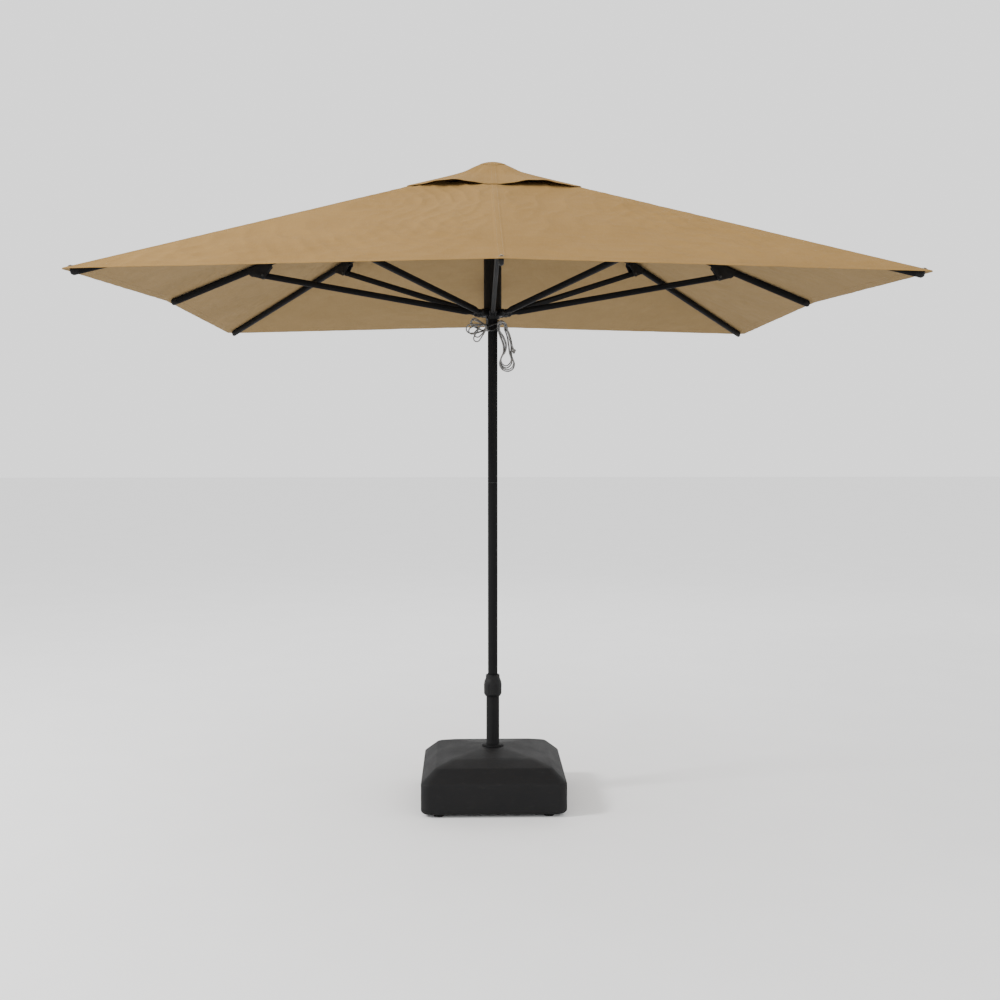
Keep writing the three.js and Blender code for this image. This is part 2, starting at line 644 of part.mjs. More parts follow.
// The top face of the vent cap, with its hem standing up between the ribs.
function capHeight(out, along) {
  const share = CAP_HALF / CANOPY_HALF;
  const hem = canopyHeight(share, 0) + (canopyHeight(share, 1) - canopyHeight(share, 0)) * along + CAP_LIFT;
  const arch = CAP_ARCH * Math.sin(Math.PI * along) ** 2 * out * out;
  return CAP_APEX_Z + out * (hem - CAP_APEX_Z) + arch;
}

// A square sheet of fabric with a thickness, from the share `from` of its half side to the whole of it.
// Each quarter has `perHalf` steps from a corner to the middle of a side, on both halves.
function squareSheet(half, from, rings, perHalf, height) {
  const count = 8 * perHalf;
  const loops = [];
  for (let layer = 0; layer <= rings; layer += 1) {
    const out = from + ((1 - from) * layer) / rings;
    const loop = [];
    for (let i = 0; i < count; i += 1) {
      const quarter = Math.floor(i / (2 * perHalf));
      const across = (i % (2 * perHalf)) / perHalf - 1;
      const turn = (quarter * Math.PI) / 2;
      const x = out * half;
      const y = out * half * across;
      const z = height(out, Math.abs(across));
      loop.push([x * Math.cos(turn) - y * Math.sin(turn), x * Math.sin(turn) + y * Math.cos(turn), z]);
    }
    loops.push(loop);
  }
  const positions = [];
  const index = [];
  for (const drop of [0, FABRIC]) {
    for (const loop of loops) {
      loop.forEach(([x, y, z]) => positions.push(x, y, z - drop));
    }
  }
  const layerSize = count * (rings + 1);
  for (let layer = 0; layer < rings; layer += 1) {
    for (let i = 0; i < count; i += 1) {
      const a = layer * count + i;
      const b = layer * count + ((i + 1) % count);
      index.push(a, b + count, b, a, a + count, b + count);
      index.push(layerSize + a, layerSize + b, layerSize + b + count);
      index.push(layerSize + a, layerSize + b + count, layerSize + a + count);
    }
  }
  for (let i = 0; i < count; i += 1) {
    const next = (i + 1) % count;
    const edge = rings * count;
    index.push(i, next, layerSize + next, i, layerSize + next, layerSize + i);
    index.push(edge + i, layerSize + edge + next, edge + next);
    index.push(edge + i, layerSize + edge + i, layerSize + edge + next);
  }
  const geometry = new THREE.BufferGeometry();
  geometry.setAttribute("position", new THREE.Float32BufferAttribute(positions, 3));
  geometry.setIndex(index);
  return geometry;
}

function makeFabric() {
  const canopy = squareSheet(CANOPY_HALF, VENT_HALF / CANOPY_HALF, 4, 4, canopyHeight);
  piece("canopy", canopy, TAN, 0.95, 0);
  const cap = squareSheet(CAP_HALF, 0.02, 3, 4, capHeight);
  piece("vent_cap", cap, TAN, 0.95, 0);
}

// ---------- lift rope ----------
function ropeTube(points, steps, tension) {
  const path = new THREE.CatmullRomCurve3(points, false, "catmullrom", tension);
  const section = new THREE.Shape();
  for (let side = 0; side < ROPE_SIDES; side += 1) {
    const angle = (side * 2 * Math.PI) / ROPE_SIDES;
    const x = ROPE_R * Math.cos(angle);
    const y = ROPE_R * Math.sin(angle);
    if (side === 0) {
      section.moveTo(x, y);
    } else {
      section.lineTo(x, y);
    }
  }
  section.closePath();
  const settings = { steps, bevelEnabled: false, extrudePath: path, curveSegments: 1 };
  return new THREE.ExtrudeGeometry(section, settings);
}

function atAzimuth(radius, azimuth, z) {
  return new THREE.Vector3(radius * Math.cos(azimuth), radius * Math.sin(azimuth), z);
}

// The working run: up from the runner, over the sheave in the hub and down through the other channel.
function makeWorkingRope() {
  const points = [];
  const anchorZ = RUNNER_Z - 6;
  for (const z of [anchorZ, 2000, 2120, 2240, 2340, SHEAVE_Z - 8]) {
    points.push(atAzimuth(ROPE_FALL_R, ROPE_AZIMUTH + Math.PI, z));
  }
  for (let step = 0; step <= 6; step += 1) {
    const angle = Math.PI - (Math.PI * step) / 6;
    const out = ROPE_FALL_R * Math.cos(angle);
    points.push(atAzimuth(out, ROPE_AZIMUTH, SHEAVE_Z + ROPE_FALL_R * Math.sin(angle)));
  }
  for (const z of [SHEAVE_Z - 8, 2340, 2240, 2120, 2000, RUNNER_LOW_Z + 1]) {
    points.push(atAzimuth(ROPE_FALL_R, ROPE_AZIMUTH, z));
  }
  piece("lift_rope", ropeTube(points, 62, 0.5), ROPE_GREY, 0.9, 0);
}

// The free tail: round the front of the pole under the runner, to a bow on the left and a hank on the right.
function makeRopeTail() {
  const points = [];
  for (let step = 0; step <= 12; step += 1) {
    const azimuth = ROPE_AZIMUTH - (TAIL_TURN * step) / 12;
    const z = RUNNER_LOW_Z - 3 - (TAIL_DROP * step) / 12;
    points.push(atAzimuth(ROPE_FALL_R + 0.5, azimuth, z));
  }
  piece("rope_tail", ropeTube(points, 20, 0.5), ROPE_GREY, 0.9, 0);

  const hank = new THREE.Shape();
  hank.moveTo(24, 1862);
  hank.bezierCurveTo(62, 1850, 84, 1800, 84, 1760);
  hank.bezierCurveTo(92, 1700, 80, 1662, 56, 1662);
  hank.bezierCurveTo(34, 1664, 24, 1700, 40, 1752);
  hank.bezierCurveTo(46, 1790, 40, 1820, 24, 1846);
  piece("rope_hank", ropeBundle(hank, 24), ROPE_GREY, 0.9, 0);

  const bow = new THREE.Shape();
  bow.moveTo(-26, 1846);
  bow.bezierCurveTo(-50, 1880, -100, 1884, -102, 1846);
  bow.bezierCurveTo(-102, 1822, -74, 1808, -64, 1790);
  bow.bezierCurveTo(-54, 1758, -30, 1758, -26, 1790);
  piece("rope_bow", ropeBundle(bow, 20), ROPE_GREY, 0.9, 0);
}

// A tied bundle of rope as one solid: an outline seen from the front, in front of the pole's middle.
function ropeBundle(outline, thickness) {
  const settings = { depth: thickness, bevelEnabled: false, curveSegments: 5 };
  return new THREE.ExtrudeGeometry(outline, settings).translate(0, 0, BUNDLE_Y).rotateX(Math.PI / 2);
}

makeBase();
makeSocket();
makePole();
makeHub();
makeRibs();
makeRunner();
makeFabric();
makeWorkingRope();
makeRopeTail();

export default umbrella;
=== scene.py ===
# A square patio umbrella on a weighted base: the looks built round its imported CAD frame.
# Metres, +Z up; the pole's axis is at the origin, the front is at -Y and the right side at +X.
import json
import math

import bmesh
import bpy
import numpy as np
from mathutils import Matrix, Vector

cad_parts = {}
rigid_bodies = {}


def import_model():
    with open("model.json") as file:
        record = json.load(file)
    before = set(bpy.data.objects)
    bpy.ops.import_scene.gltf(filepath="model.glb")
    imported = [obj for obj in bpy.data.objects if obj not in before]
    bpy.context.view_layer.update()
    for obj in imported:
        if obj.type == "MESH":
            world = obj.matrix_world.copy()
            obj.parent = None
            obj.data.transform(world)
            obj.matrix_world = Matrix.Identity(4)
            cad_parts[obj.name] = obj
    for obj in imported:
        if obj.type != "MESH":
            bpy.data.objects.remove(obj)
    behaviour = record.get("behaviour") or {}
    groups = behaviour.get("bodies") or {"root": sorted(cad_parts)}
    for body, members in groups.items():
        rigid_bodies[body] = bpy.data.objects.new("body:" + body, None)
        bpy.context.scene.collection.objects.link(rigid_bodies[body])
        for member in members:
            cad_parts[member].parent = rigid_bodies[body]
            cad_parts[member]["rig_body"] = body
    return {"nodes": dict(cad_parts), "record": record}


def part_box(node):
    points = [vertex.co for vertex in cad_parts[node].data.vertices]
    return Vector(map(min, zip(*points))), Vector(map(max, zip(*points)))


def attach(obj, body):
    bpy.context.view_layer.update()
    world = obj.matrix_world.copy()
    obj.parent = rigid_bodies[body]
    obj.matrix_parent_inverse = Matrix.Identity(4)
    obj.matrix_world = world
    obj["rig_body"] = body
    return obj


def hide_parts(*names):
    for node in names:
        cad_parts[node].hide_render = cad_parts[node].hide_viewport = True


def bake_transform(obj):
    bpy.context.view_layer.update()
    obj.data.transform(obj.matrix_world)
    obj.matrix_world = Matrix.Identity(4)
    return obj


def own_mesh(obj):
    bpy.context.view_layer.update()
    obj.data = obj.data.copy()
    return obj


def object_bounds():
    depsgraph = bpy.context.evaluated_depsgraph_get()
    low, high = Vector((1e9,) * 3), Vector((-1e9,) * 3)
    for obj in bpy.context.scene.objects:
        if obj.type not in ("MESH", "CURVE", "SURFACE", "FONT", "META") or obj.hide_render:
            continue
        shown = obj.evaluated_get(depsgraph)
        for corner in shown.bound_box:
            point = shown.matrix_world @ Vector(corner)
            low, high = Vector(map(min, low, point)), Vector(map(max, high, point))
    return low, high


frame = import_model()
cad_box = [list(corner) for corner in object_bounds()]
NODES = frame["nodes"]
SIDES = ["right", "back_right", "back", "back_left", "left", "front_left", "front", "front_right"]


def linear(r, g, b):
    """A screen colour, 0 to 255, as the linear colour that a shader takes."""
    return tuple(
        (c / 255 / 12.92) if c / 255 <= 0.04045 else ((c / 255 + 0.055) / 1.055) ** 2.4 for c in (r, g, b)
    ) + (1.0,)


def toned(colour, share):
    """A linear colour made lighter or darker by a share."""
    return tuple(share * c for c in colour[:3]) + (1.0,)


# ---------- the camera ----------
CAMERA_PLACE = (-0.0975, -4.8296, 1.4646)
CAMERA_YAW = math.radians(1.493)
CAMERA_PITCH = math.radians(-3.461)
CAMERA_LENS = 44.757


def make_camera():
    data = bpy.data.cameras.new("camera")
    data.lens = CAMERA_LENS
    data.sensor_width = 36.0
    data.clip_start, data.clip_end = 0.05, 100.0
    camera = bpy.data.objects.new("camera", data)
    bpy.context.scene.collection.objects.link(camera)
    ahead = Vector(
        (
            math.sin(CAMERA_YAW) * math.cos(CAMERA_PITCH),
            math.cos(CAMERA_YAW) * math.cos(CAMERA_PITCH),
            math.sin(CAMERA_PITCH),
        )
    )
    right = Vector((math.cos(CAMERA_YAW), -math.sin(CAMERA_YAW), 0))
    up = right.cross(ahead)
    turn = Matrix((right, up, -ahead)).transposed().to_4x4()
    camera.matrix_world = Matrix.Translation(CAMERA_PLACE) @ turn
    bpy.context.scene.camera = camera


make_camera()


# ---------- materials ----------
class Look:
    """A node material under construction."""

    def __init__(self, name):
        self.material = bpy.data.materials.new(name)
        self.material.use_nodes = True
        self.tree = self.material.node_tree
        self.shader = self.tree.nodes["Principled BSDF"]
        self.place = self.tree.nodes.new("ShaderNodeTexCoord").outputs["Object"]

    def node(self, kind, **settings):
        made = self.tree.nodes.new(kind)
        for name, value in settings.items():
            setattr(made, name, value)
        return made

    def link(self, output, socket):
        self.tree.links.new(output, socket)

    def set(self, **values):
        for name, value in values.items():
            self.shader.inputs[name.replace("_", " ")].default_value = value

    def made(self, kind, output, inputs, **settings):
        """The output of a new node, whose inputs are numbers, colours or other nodes' outputs."""
        node = self.node(kind, **settings)
        for socket, value in inputs.items():
            if isinstance(value, (int, float, tuple)):
                node.inputs[socket].default_value = value
            else:
                self.link(value, node.inputs[socket])
        return node.outputs[output]

    def stretched(self, scale, turn=0.0):
        turned = {"Scale": scale, "Rotation": (0, 0, turn), "Vector": self.place}
        return self.made("ShaderNodeMapping", "Vector", turned)

    def noise(self, scale, detail=4.0, rough=0.55, at=None, distortion=0.0, **settings):
        grain = {"Scale": scale, "Detail": detail, "Roughness": rough, "Distortion": distortion}
        grain["Vector"] = self.place if at is None else at
        return self.made("ShaderNodeTexNoise", "Fac", grain, **settings)

    def waves(self, scale, direction, distortion):
        bands = {"Scale": scale, "Distortion": distortion, "Vector": self.place}
        return self.made("ShaderNodeTexWave", "Fac", bands, wave_type="BANDS", bands_direction=direction)

    def cells(self, scale):
        return self.made("ShaderNodeTexVoronoi", "Distance", {"Scale": scale, "Vector": self.place})

    def ramp(self, factor, stops):
        made = self.node("ShaderNodeValToRGB")
        for element, (at, colour) in zip(made.color_ramp.elements, stops):
            element.position = at
            element.color = colour
        self.link(factor, made.inputs["Fac"])
        return made.outputs["Color"]

    def span(self, factor, low, high, start=0.0, end=1.0):
        reach = {"From Min": start, "From Max": end, "To Min": low, "To Max": high, "Value": factor}
        return self.made("ShaderNodeMapRange", "Result", reach)

    def maths(self, operation, a, b):
        return self.made("ShaderNodeMath", "Value", {0: a, 1: b}, operation=operation)

    def mixed(self, factor, a, b):
        return self.made("ShaderNodeMix", 2, {0: factor, 6: a, 7: b}, data_type="RGBA", blend_type="MIX")

    def bump(self, heights):
        """Adds bump maps, each (height, strength, distance), from the largest to the finest."""
        normal = {}
        for height, strength, distance in heights:
            relief = {"Strength": strength, "Distance": distance, "Height": height, **normal}
            normal = {"Normal": self.made("ShaderNodeBump", "Normal", relief)}
        self.link(normal["Normal"], self.shader.inputs["Normal"])

    def colour(self, output):
        self.link(output, self.shader.inputs["Base Color"])

    def roughness(self, output):
        self.link(output, self.shader.inputs["Roughness"])


def fabric_look(name, light, dark):
    """Woven, solution-dyed polyester: a plain weave with slubs, and faint patches of tone."""
    look = Look(name)
    warp = look.waves(420.0, "X", 1.2)
    weft = look.waves(420.0, "Y", 1.2)
    weave = look.maths("MULTIPLY", warp, weft)
    slub_x = look.noise(1.0, 3.0, 0.6, look.stretched((14.0, 260.0, 60.0)))
    slub_y = look.noise(1.0, 3.0, 0.6, look.stretched((260.0, 14.0, 60.0)))
    slubs = look.maths("ADD", look.maths("MULTIPLY", slub_x, 0.5), look.maths("MULTIPLY", slub_y, 0.5))
    patches = look.noise(2.6, 4.0, 0.6)
    soiling = look.noise(17.0, 5.0, 0.65, distortion=0.4)
    tone = look.ramp(patches, [(0.3, dark), (0.72, light)])
    worn = look.mixed(look.span(soiling, 0.0, 0.22, 0.45, 0.8), tone, toned(dark, 0.8))
    threads = look.mixed(look.span(slubs, 0.0, 0.35, 0.35, 0.7), worn, toned(light, 1.12))
    look.colour(look.mixed(look.span(weave, 0.16, 0.0), threads, toned(dark, 0.6)))
    look.roughness(look.span(slubs, 0.93, 0.8, 0.3, 0.7))
    creased = look.noise(6.0, 5.0, 0.5, distortion=0.6, noise_type="RIDGED_MULTIFRACTAL")
    look.bump([(creased, 0.55, 0.006), (slubs, 0.5, 0.0008), (weave, 0.5, 0.0003)])
    look.set(Specular_IOR_Level=0.06, Sheen_Weight=0.0, Sheen_Roughness=0.6)
    return look.material


def coated_metal_look(name, base, gloss, wear):
    """Powder-coated metal: fine orange peel, slight patches of gloss and a little dust."""
    look = Look(name)
    peel = look.noise(900.0, 2.0, 0.5)
    patches = look.noise(11.0, 4.0, 0.6)
    dust = look.noise(60.0, 6.0, 0.7)
    tone = look.ramp(patches, [(0.25, toned(base, 0.8)), (0.8, base)])
    look.colour(look.mixed(look.span(dust, 0.0, wear, 0.55, 0.85), tone, linear(96, 93, 88)))
    dullness = look.maths("ADD", patches, look.maths("MULTIPLY", dust, 0.5))
    look.roughness(look.span(dullness, gloss, gloss + 0.2, 0.4, 1.1))
    look.bump([(patches, 0.05, 0.001), (peel, 0.05, 0.0001)])
    look.set(Specular_IOR_Level=0.12)
    return look.material


def moulded_look(name, base, grain, gloss, wear):
    """Moulded plastic: a pebbled grain of a given scale, a touch of scuffing and chalky dust."""
    look = Look(name)
    pebbles = look.cells(grain)
    fine = look.noise(grain * 1.7, 3.0, 0.6)
    patches = look.noise(7.0, 5.0, 0.62)
    scuffs = look.noise(1.0, 6.0, 0.7, look.stretched((24.0, 150.0, 90.0), 0.5))
    tone = look.ramp(patches, [(0.25, toned(base, 0.82)), (0.8, toned(base, 1.12))])
    scuffed = look.mixed(look.span(scuffs, 0.0, wear, 0.58, 0.82), tone, linear(110, 108, 104))
    look.colour(look.mixed(look.span(pebbles, 0.2, 0.0, 0.0, 0.6), scuffed, toned(base, 0.45)))
    look.roughness(look.span(look.maths("ADD", patches, fine), gloss, gloss + 0.22, 0.7, 1.3))
    look.bump([(patches, 0.04, 0.003), (pebbles, 0.35, 0.0006), (fine, 0.25, 0.0002)])
    look.set(Specular_IOR_Level=0.2)
    return look.material


def bare_metal_look(name, base, gloss):
    look = Look(name)
    brushed = look.noise(1.0, 4.0, 0.6, look.stretched((30.0, 900.0, 900.0)))
    patches = look.noise(30.0, 4.0, 0.6)
    look.colour(look.ramp(patches, [(0.3, toned(base, 0.75)), (0.75, base)]))
    look.roughness(look.span(brushed, gloss, gloss + 0.2, 0.3, 0.7))
    look.bump([(brushed, 0.15, 0.0002)])
    look.set(Metallic=1.0)
    return look.material


def rope_look(name, light, dark, pole_shade=0.0):
    """Braided cord: fine fibres and dark tracer flecks, with painted shade blackening it close round the
    pole's axis, by the given share.
    """
    look = Look(name)
    fibres = look.noise(1500.0, 3.0, 0.7)
    flecks = look.cells(260.0)
    patches = look.noise(38.0, 5.0, 0.65)
    tone = look.ramp(patches, [(0.3, toned(light, 0.55)), (0.7, light)])
    braided = look.mixed(look.span(flecks, 0.85, 0.0, 0.2, 0.62), tone, dark)
    split = look.node("ShaderNodeSeparateXYZ")
    look.link(look.place, split.inputs["Vector"])
    x_squared = look.maths("POWER", split.outputs["X"], 2.0)
    y_squared = look.maths("POWER", split.outputs["Y"], 2.0)
    from_axis = look.maths("POWER", look.maths("ADD", x_squared, y_squared), 0.5)
    # painted shade: the cord is blackened where it lies close round the pole, under the runner
    pole_shade_share = look.span(from_axis, pole_shade, 0.0, 0.029, 0.034)
    look.colour(look.mixed(pole_shade_share, braided, dark))
    look.roughness(look.span(fibres, 0.75, 0.95))
    look.bump([(flecks, 0.5, 0.0008), (fibres, 0.5, 0.0003)])
    look.set(Specular_IOR_Level=0.3, Sheen_Weight=0.15)
    return look.material


def concrete_look(name):
    look = Look(name)
    grit = look.noise(160.0, 8.0, 0.7)
    pores = look.cells(90.0)
    look.colour(look.ramp(grit, [(0.3, linear(96, 93, 88)), (0.7, linear(150, 146, 140))]))
    look.roughness(look.span(grit, 0.85, 0.98))
    look.bump([(pores, 0.3, 0.002), (grit, 0.5, 0.001)])
    return look.material


TAN_LIGHT = linear(150, 119, 72)
TAN_DARK = linear(139, 109, 64)
FABRIC = fabric_look("canopy_fabric", TAN_LIGHT, TAN_DARK)
# the underside's darker, greyer tan is painted shade on the cloth's underside, and partly the cloth's coated
# back
FABRIC_UNDERSIDE_SHADED = fabric_look("canopy_fabric_back", linear(134, 112, 78), linear(124, 103, 70))
THREAD = rope_look("stitch_thread", linear(166, 134, 84), linear(128, 101, 60))
FRAME_METAL = coated_metal_look("powder_coated_metal", linear(15, 15, 16), 0.58, 0.05)
SOCKET_METAL = coated_metal_look("socket_enamel", linear(15, 15, 16), 0.5, 0.06)
BLACK_PLASTIC = moulded_look("black_nylon", linear(15, 15, 16), 900.0, 0.46, 0.05)
BASE_PLASTIC = moulded_look("base_polyethylene", linear(18, 18, 19), 620.0, 0.58, 0.07)
RUBBER = moulded_look("foot_rubber", linear(24, 24, 24), 500.0, 0.78, 0.12)
SCREW_METAL = bare_metal_look("burnished_screw", (0.22, 0.18, 0.13, 1), 0.4)
PIN_STEEL = bare_metal_look("blackened_steel", (0.07, 0.07, 0.07, 1), 0.45)
BARE_METAL = bare_metal_look("bare_aluminium", (0.62, 0.62, 0.63, 1), 0.3)
BARE_STEEL = bare_metal_look("zinc_plated_steel", (0.55, 0.55, 0.57, 1), 0.28)
SHEAVE_NYLON = moulded_look("sheave_nylon", linear(60, 60, 60), 700.0, 0.35, 0.05)
# darker close round the pole: painted shade
ROPE = rope_look("cord", linear(158, 158, 158), linear(28, 28, 30), pole_shade=0.9)
CONCRETE = concrete_look("ballast_concrete")


# ---------- meshes ----------
def as_object(name, points, faces, materials, face_materials=None, sharp=50.0):
    """A smooth-shaded mesh object whose edges above `sharp` degrees stay crisp."""
    mesh = bpy.data.meshes.new(name)
    mesh.from_pydata([tuple(p) for p in points], [], [tuple(f) for f in faces])
    for material in materials:
        mesh.materials.append(material)
    if face_materials is not None:
        mesh.polygons.foreach_set("material_index", np.array(face_materials, np.int32))
    return finished(name, mesh, sharp)


def finished(name, mesh, sharp):
    mesh.validate()
    mesh.shade_smooth()
    mesh.set_sharp_from_angle(angle=math.radians(sharp))
    mesh.update()
    made = bpy.data.objects.new(name, mesh)
    bpy.context.scene.collection.objects.link(made)
    return made


def outward(obj):
    """Turns every face of a closed mesh outwards."""
    work = bmesh.new()
    work.from_mesh(obj.data)
    bmesh.ops.recalc_face_normals(work, faces=work.faces)
    work.to_mesh(obj.data)
    work.free()
    return obj


def applied(obj, kind, **settings):
    """Adds a modifier and applies it at once, so that the mesh itself holds the result."""
    modifier = obj.modifiers.new(kind.lower(), kind)
    for name, value in settings.items():
        setattr(modifier, name, value)
    shaped = bpy.data.meshes.new_from_object(obj.evaluated_get(bpy.context.evaluated_depsgraph_get()))
    obj.modifiers.clear()
    obj.data = shaped
    return obj


def band(low, high, count):
    """Quads between two rings of `count` points, told by the places of their first points."""
    around = [(k, (k + 1) % count) for k in range(count)]
    return [(low + k, low + j, high + j, high + k) for k, j in around]


def lathe(outline, sides=96, wave=None):
    """The points and faces of an outline of (radius, z) turned round the Z axis."""
    points, faces = [], []
    rings = []
    for radius, z in outline:
        if radius < 1e-6:
            rings.append([len(points)])
            points.append((0.0, 0.0, z))
            continue
        rings.append(list(range(len(points), len(points) + sides)))
        for i in range(sides):
            angle = 2 * math.pi * i / sides
            r = radius - (wave(angle, radius, z) if wave else 0.0)
            points.append((r * math.cos(angle), r * math.sin(angle), z))
    for low, high in zip(rings, rings[1:]):
        if len(low) == len(high) == sides:
            faces += band(low[0], high[0], sides)
        elif len(low) == sides:
            faces += [(low[i], low[(i + 1) % sides], high[0]) for i in range(sides)]
        elif len(high) == sides:
            faces += [(low[0], high[(i + 1) % sides], high[i]) for i in range(sides)]
    return points, faces


def rounded(outline, radius, steps=5):
    """An open outline of (a, b) with its inner corners rounded off."""
    result = [outline[0]]
    for before, here, after in zip(outline, outline[1:], outline[2:]):
        before, here, after = np.array(before, float), np.array(here, float), np.array(after, float)
        reach = min(radius, 0.45 * np.linalg.norm(before - here), 0.45 * np.linalg.norm(after - here))
        start = here + (before - here) / np.linalg.norm(before - here) * reach
        end = here + (after - here) / np.linalg.norm(after - here) * reach
        for step in range(steps + 1):
            t = step / steps
            result.append(tuple((1 - t) ** 2 * start + 2 * t * (1 - t) * here + t * t * end))
    result.append(outline[-1])
    return result


def placed(points, matrix):
    return [tuple(matrix @ Vector(p)) for p in points]


class Bundle:
    """Several small closed shapes gathered into one mesh."""

    def __init__(self):
        self.points, self.faces = [], []

    def add(self, points, faces, matrix=None):
        base = len(self.points)
        self.points += placed(points, matrix) if matrix is not None else [tuple(p) for p in points]
        self.faces += [tuple(i + base for i in face) for face in faces]

    def make(self, name, material, sharp=40.0):
        return outward(as_object(name, self.points, self.faces, [material], sharp=sharp))


# ---------- the frame's own pieces ----------
def refined(node, material, bevel=0.0007, segments=2, limit=50.0):
    """A copy of a CAD node with eased edges and smooth round faces, which stands for the node."""
    source = NODES[node].data
    work = bmesh.new()
    work.from_mesh(source)
    bmesh.ops.remove_doubles(work, verts=work.verts, dist=2e-6)
    bmesh.ops.dissolve_limit(work, angle_limit=math.radians(1.0), verts=work.verts, edges=work.edges)
    for face in work.faces:
        face.material_index = 0
    mesh = bpy.data.meshes.new(node + "_fine")
    work.to_mesh(mesh)
    work.free()
    mesh.materials.clear()
    mesh.materials.append(material)
    made = finished(node + "_fine", mesh, limit)
    if bevel:
        applied(
            made,
            "BEVEL",
            width=bevel,
            segments=segments,
            limit_method="ANGLE",
            angle_limit=math.radians(limit),
            use_clamp_overlap=True,
            harden_normals=False,
        )
        made.data.shade_smooth()
        made.data.set_sharp_from_angle(angle=math.radians(limit))
    return made


def settle(obj, body, slot, *nodes):
    """The piece rides on a body and stands for the given CAD nodes, which it hides; its slot argument is not
    used.
    """
    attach(obj, body)
    if nodes:
        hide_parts(*nodes)
    return obj


def stands_for(obj, node, slot):
    return settle(obj, NODES[node]["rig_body"], slot, node)


def carry(node, material):
    """A CAD node that is shown as it is, in a better material."""
    data = NODES[node].data
    data.materials.clear()
    data.materials.append(material)


# ---------- cords ----------
# the heights and radii here are the CAD's, in metres
ROPE_RADIUS = 0.0027
WORKING_RADIUS = 0.0022
ROPE_FALL = 0.024
ROPE_AZIMUTH = math.radians(45)
RUNNER_Z = 1.894
RUNNER_LOW_Z = 1.872
SHEAVE_Z = 2.378


def between(a, b, start, end, t):
    """The point between a at `start` and b at `end`."""
    return (end - t) / (end - start) * a + (t - start) / (end - start) * b


def smooth_line(points, step):
    """Points about `step` apart on a centripetal Catmull-Rom curve through the given ones."""
    given = [np.array(p, float) for p in points]
    given = [2 * given[0] - given[1]] + given + [2 * given[-1] - given[-2]]
    line = [given[1]]
    for a, b, c, d in zip(given, given[1:], given[2:], given[3:]):
        t0 = 0.0
        t1 = max(1e-6, np.linalg.norm(b - a)) ** 0.5
        t2 = t1 + max(1e-6, np.linalg.norm(c - b)) ** 0.5
        t3 = t2 + max(1e-6, np.linalg.norm(d - c)) ** 0.5
        count = max(2, int(np.linalg.norm(c - b) / step * 1.1))
        for k in range(1, count + 1):
            t = t1 + (t2 - t1) * k / count
            ab, bc, cd = between(a, b, t0, t1, t), between(b, c, t1, t2, t), between(c, d, t2, t3, t)
            line.append(between(between(ab, bc, t0, t2, t), between(bc, cd, t1, t3, t), t1, t2, t))
    return np.array(line)


def respaced(line, step):
    along = np.concatenate([[0], np.cumsum(np.linalg.norm(np.diff(line, axis=0), axis=1))])
    at = np.linspace(0, along[-1], max(3, int(along[-1] / step) + 1))
    return np.stack([np.interp(at, along, line[:, k]) for k in range(3)], axis=1), along[-1]


def strand_section(sides, strands=3):
    """The outline of a rope of a few strands twisted together, as (angle, share of the radius)."""
    section = []
    for k in range(sides):
        angle = 2 * math.pi * k / sides
        hollow = abs(math.sin(strands * angle / 2))
        section.append((angle, 0.80 + 0.24 * hollow**0.7))
    return section


def twisted_tube(name, line, radius, material, lay=0.016, sides=18):
    """A rope along a line of ring centres, its strands turning once in each `lay` metres."""
    tangents = np.gradient(line, axis=0)
    tangents /= np.linalg.norm(tangents, axis=1)[:, None]
    normal = np.cross(tangents[0], (0.0, 0.0, 1.0))
    if np.linalg.norm(normal) < 0.1:
        normal = np.cross(tangents[0], (1.0, 0.0, 0.0))
    section = strand_section(sides)
    points, faces, along = [], [], 0.0
    for index, (centre, tangent) in enumerate(zip(line, tangents)):
        if index:
            along += float(np.linalg.norm(centre - line[index - 1]))
        normal = normal - tangent * np.dot(normal, tangent)
        normal /= np.linalg.norm(normal)
        side = np.cross(tangent, normal)
        twist = 2 * math.pi * along / lay
        for angle, share in section:
            a = angle + twist
            points.append(centre + radius * share * (math.cos(a) * normal + math.sin(a) * side))
    rings = len(line)
    for ring in range(rings - 1):
        faces += band(ring * sides, (ring + 1) * sides, sides)
    faces.append(tuple(reversed(range(sides))))
    faces.append(tuple(range((rings - 1) * sides, rings * sides)))
    return outward(as_object(name, points, faces, [material], sharp=80.0))


def at_azimuth(radius, azimuth, z):
    return (radius * math.cos(azimuth), radius * math.sin(azimuth), z)


def round_the_pole():
    """The tail's start: it comes out under the runner and crosses the front of the pole, going down."""
    radius, top = ROPE_FALL + 0.0005, RUNNER_LOW_Z - 0.003
    turn = 1.1 * math.pi
    return [at_azimuth(radius, ROPE_AZIMUTH - turn * step / 12, top - 0.0026 * step) for step in range(13)]


def second_turn():
    """On behind the pole and up, then across its front again beside the first turn, and off to the left."""
    start = math.radians(-153)
    points = []
    for step in range(2, 13):
        share = step / 12
        lift = 0.5 - 0.5 * math.cos(math.pi * share)
        radius = 0.0255 + 0.004 * math.sin(math.pi * share)
        points.append(at_azimuth(radius, start - math.radians(162) * share, 1.8378 + 0.0232 * lift))
    for step in range(1, 10):
        share = step / 9
        points.append(at_azimuth(0.0260, start - math.radians(162 + 132 * share), 1.861 - 0.034 * share))
    return points


BOW_CENTRE = (-0.0350, 1.8365)
BOW_BEND = 0.0115
# each loop of the bow: its direction in degrees, its reach and the radius of its tip
BOW_LOOPS = (
    (146, 0.066, 0.0115),
    (156, 0.060, 0.0115),
    (186, 0.067, 0.0165),
    (196, 0.059, 0.0130),
    (226, 0.062, 0.0115),
    (238, 0.069, 0.0115),
)
BOW_STEP = 0.0043
HANK_FOLD = 0.0126
HANK_TURNS = 4
HANK_DEPTH = -0.0245
HANK_STEP = 0.0058
TAIL_STEP = 0.0016
WORKING_STEP = 0.002


def bow_point(angle, radius, centre, y):
    return (centre[0] + radius * math.cos(angle), y, centre[1] + radius * math.sin(angle))


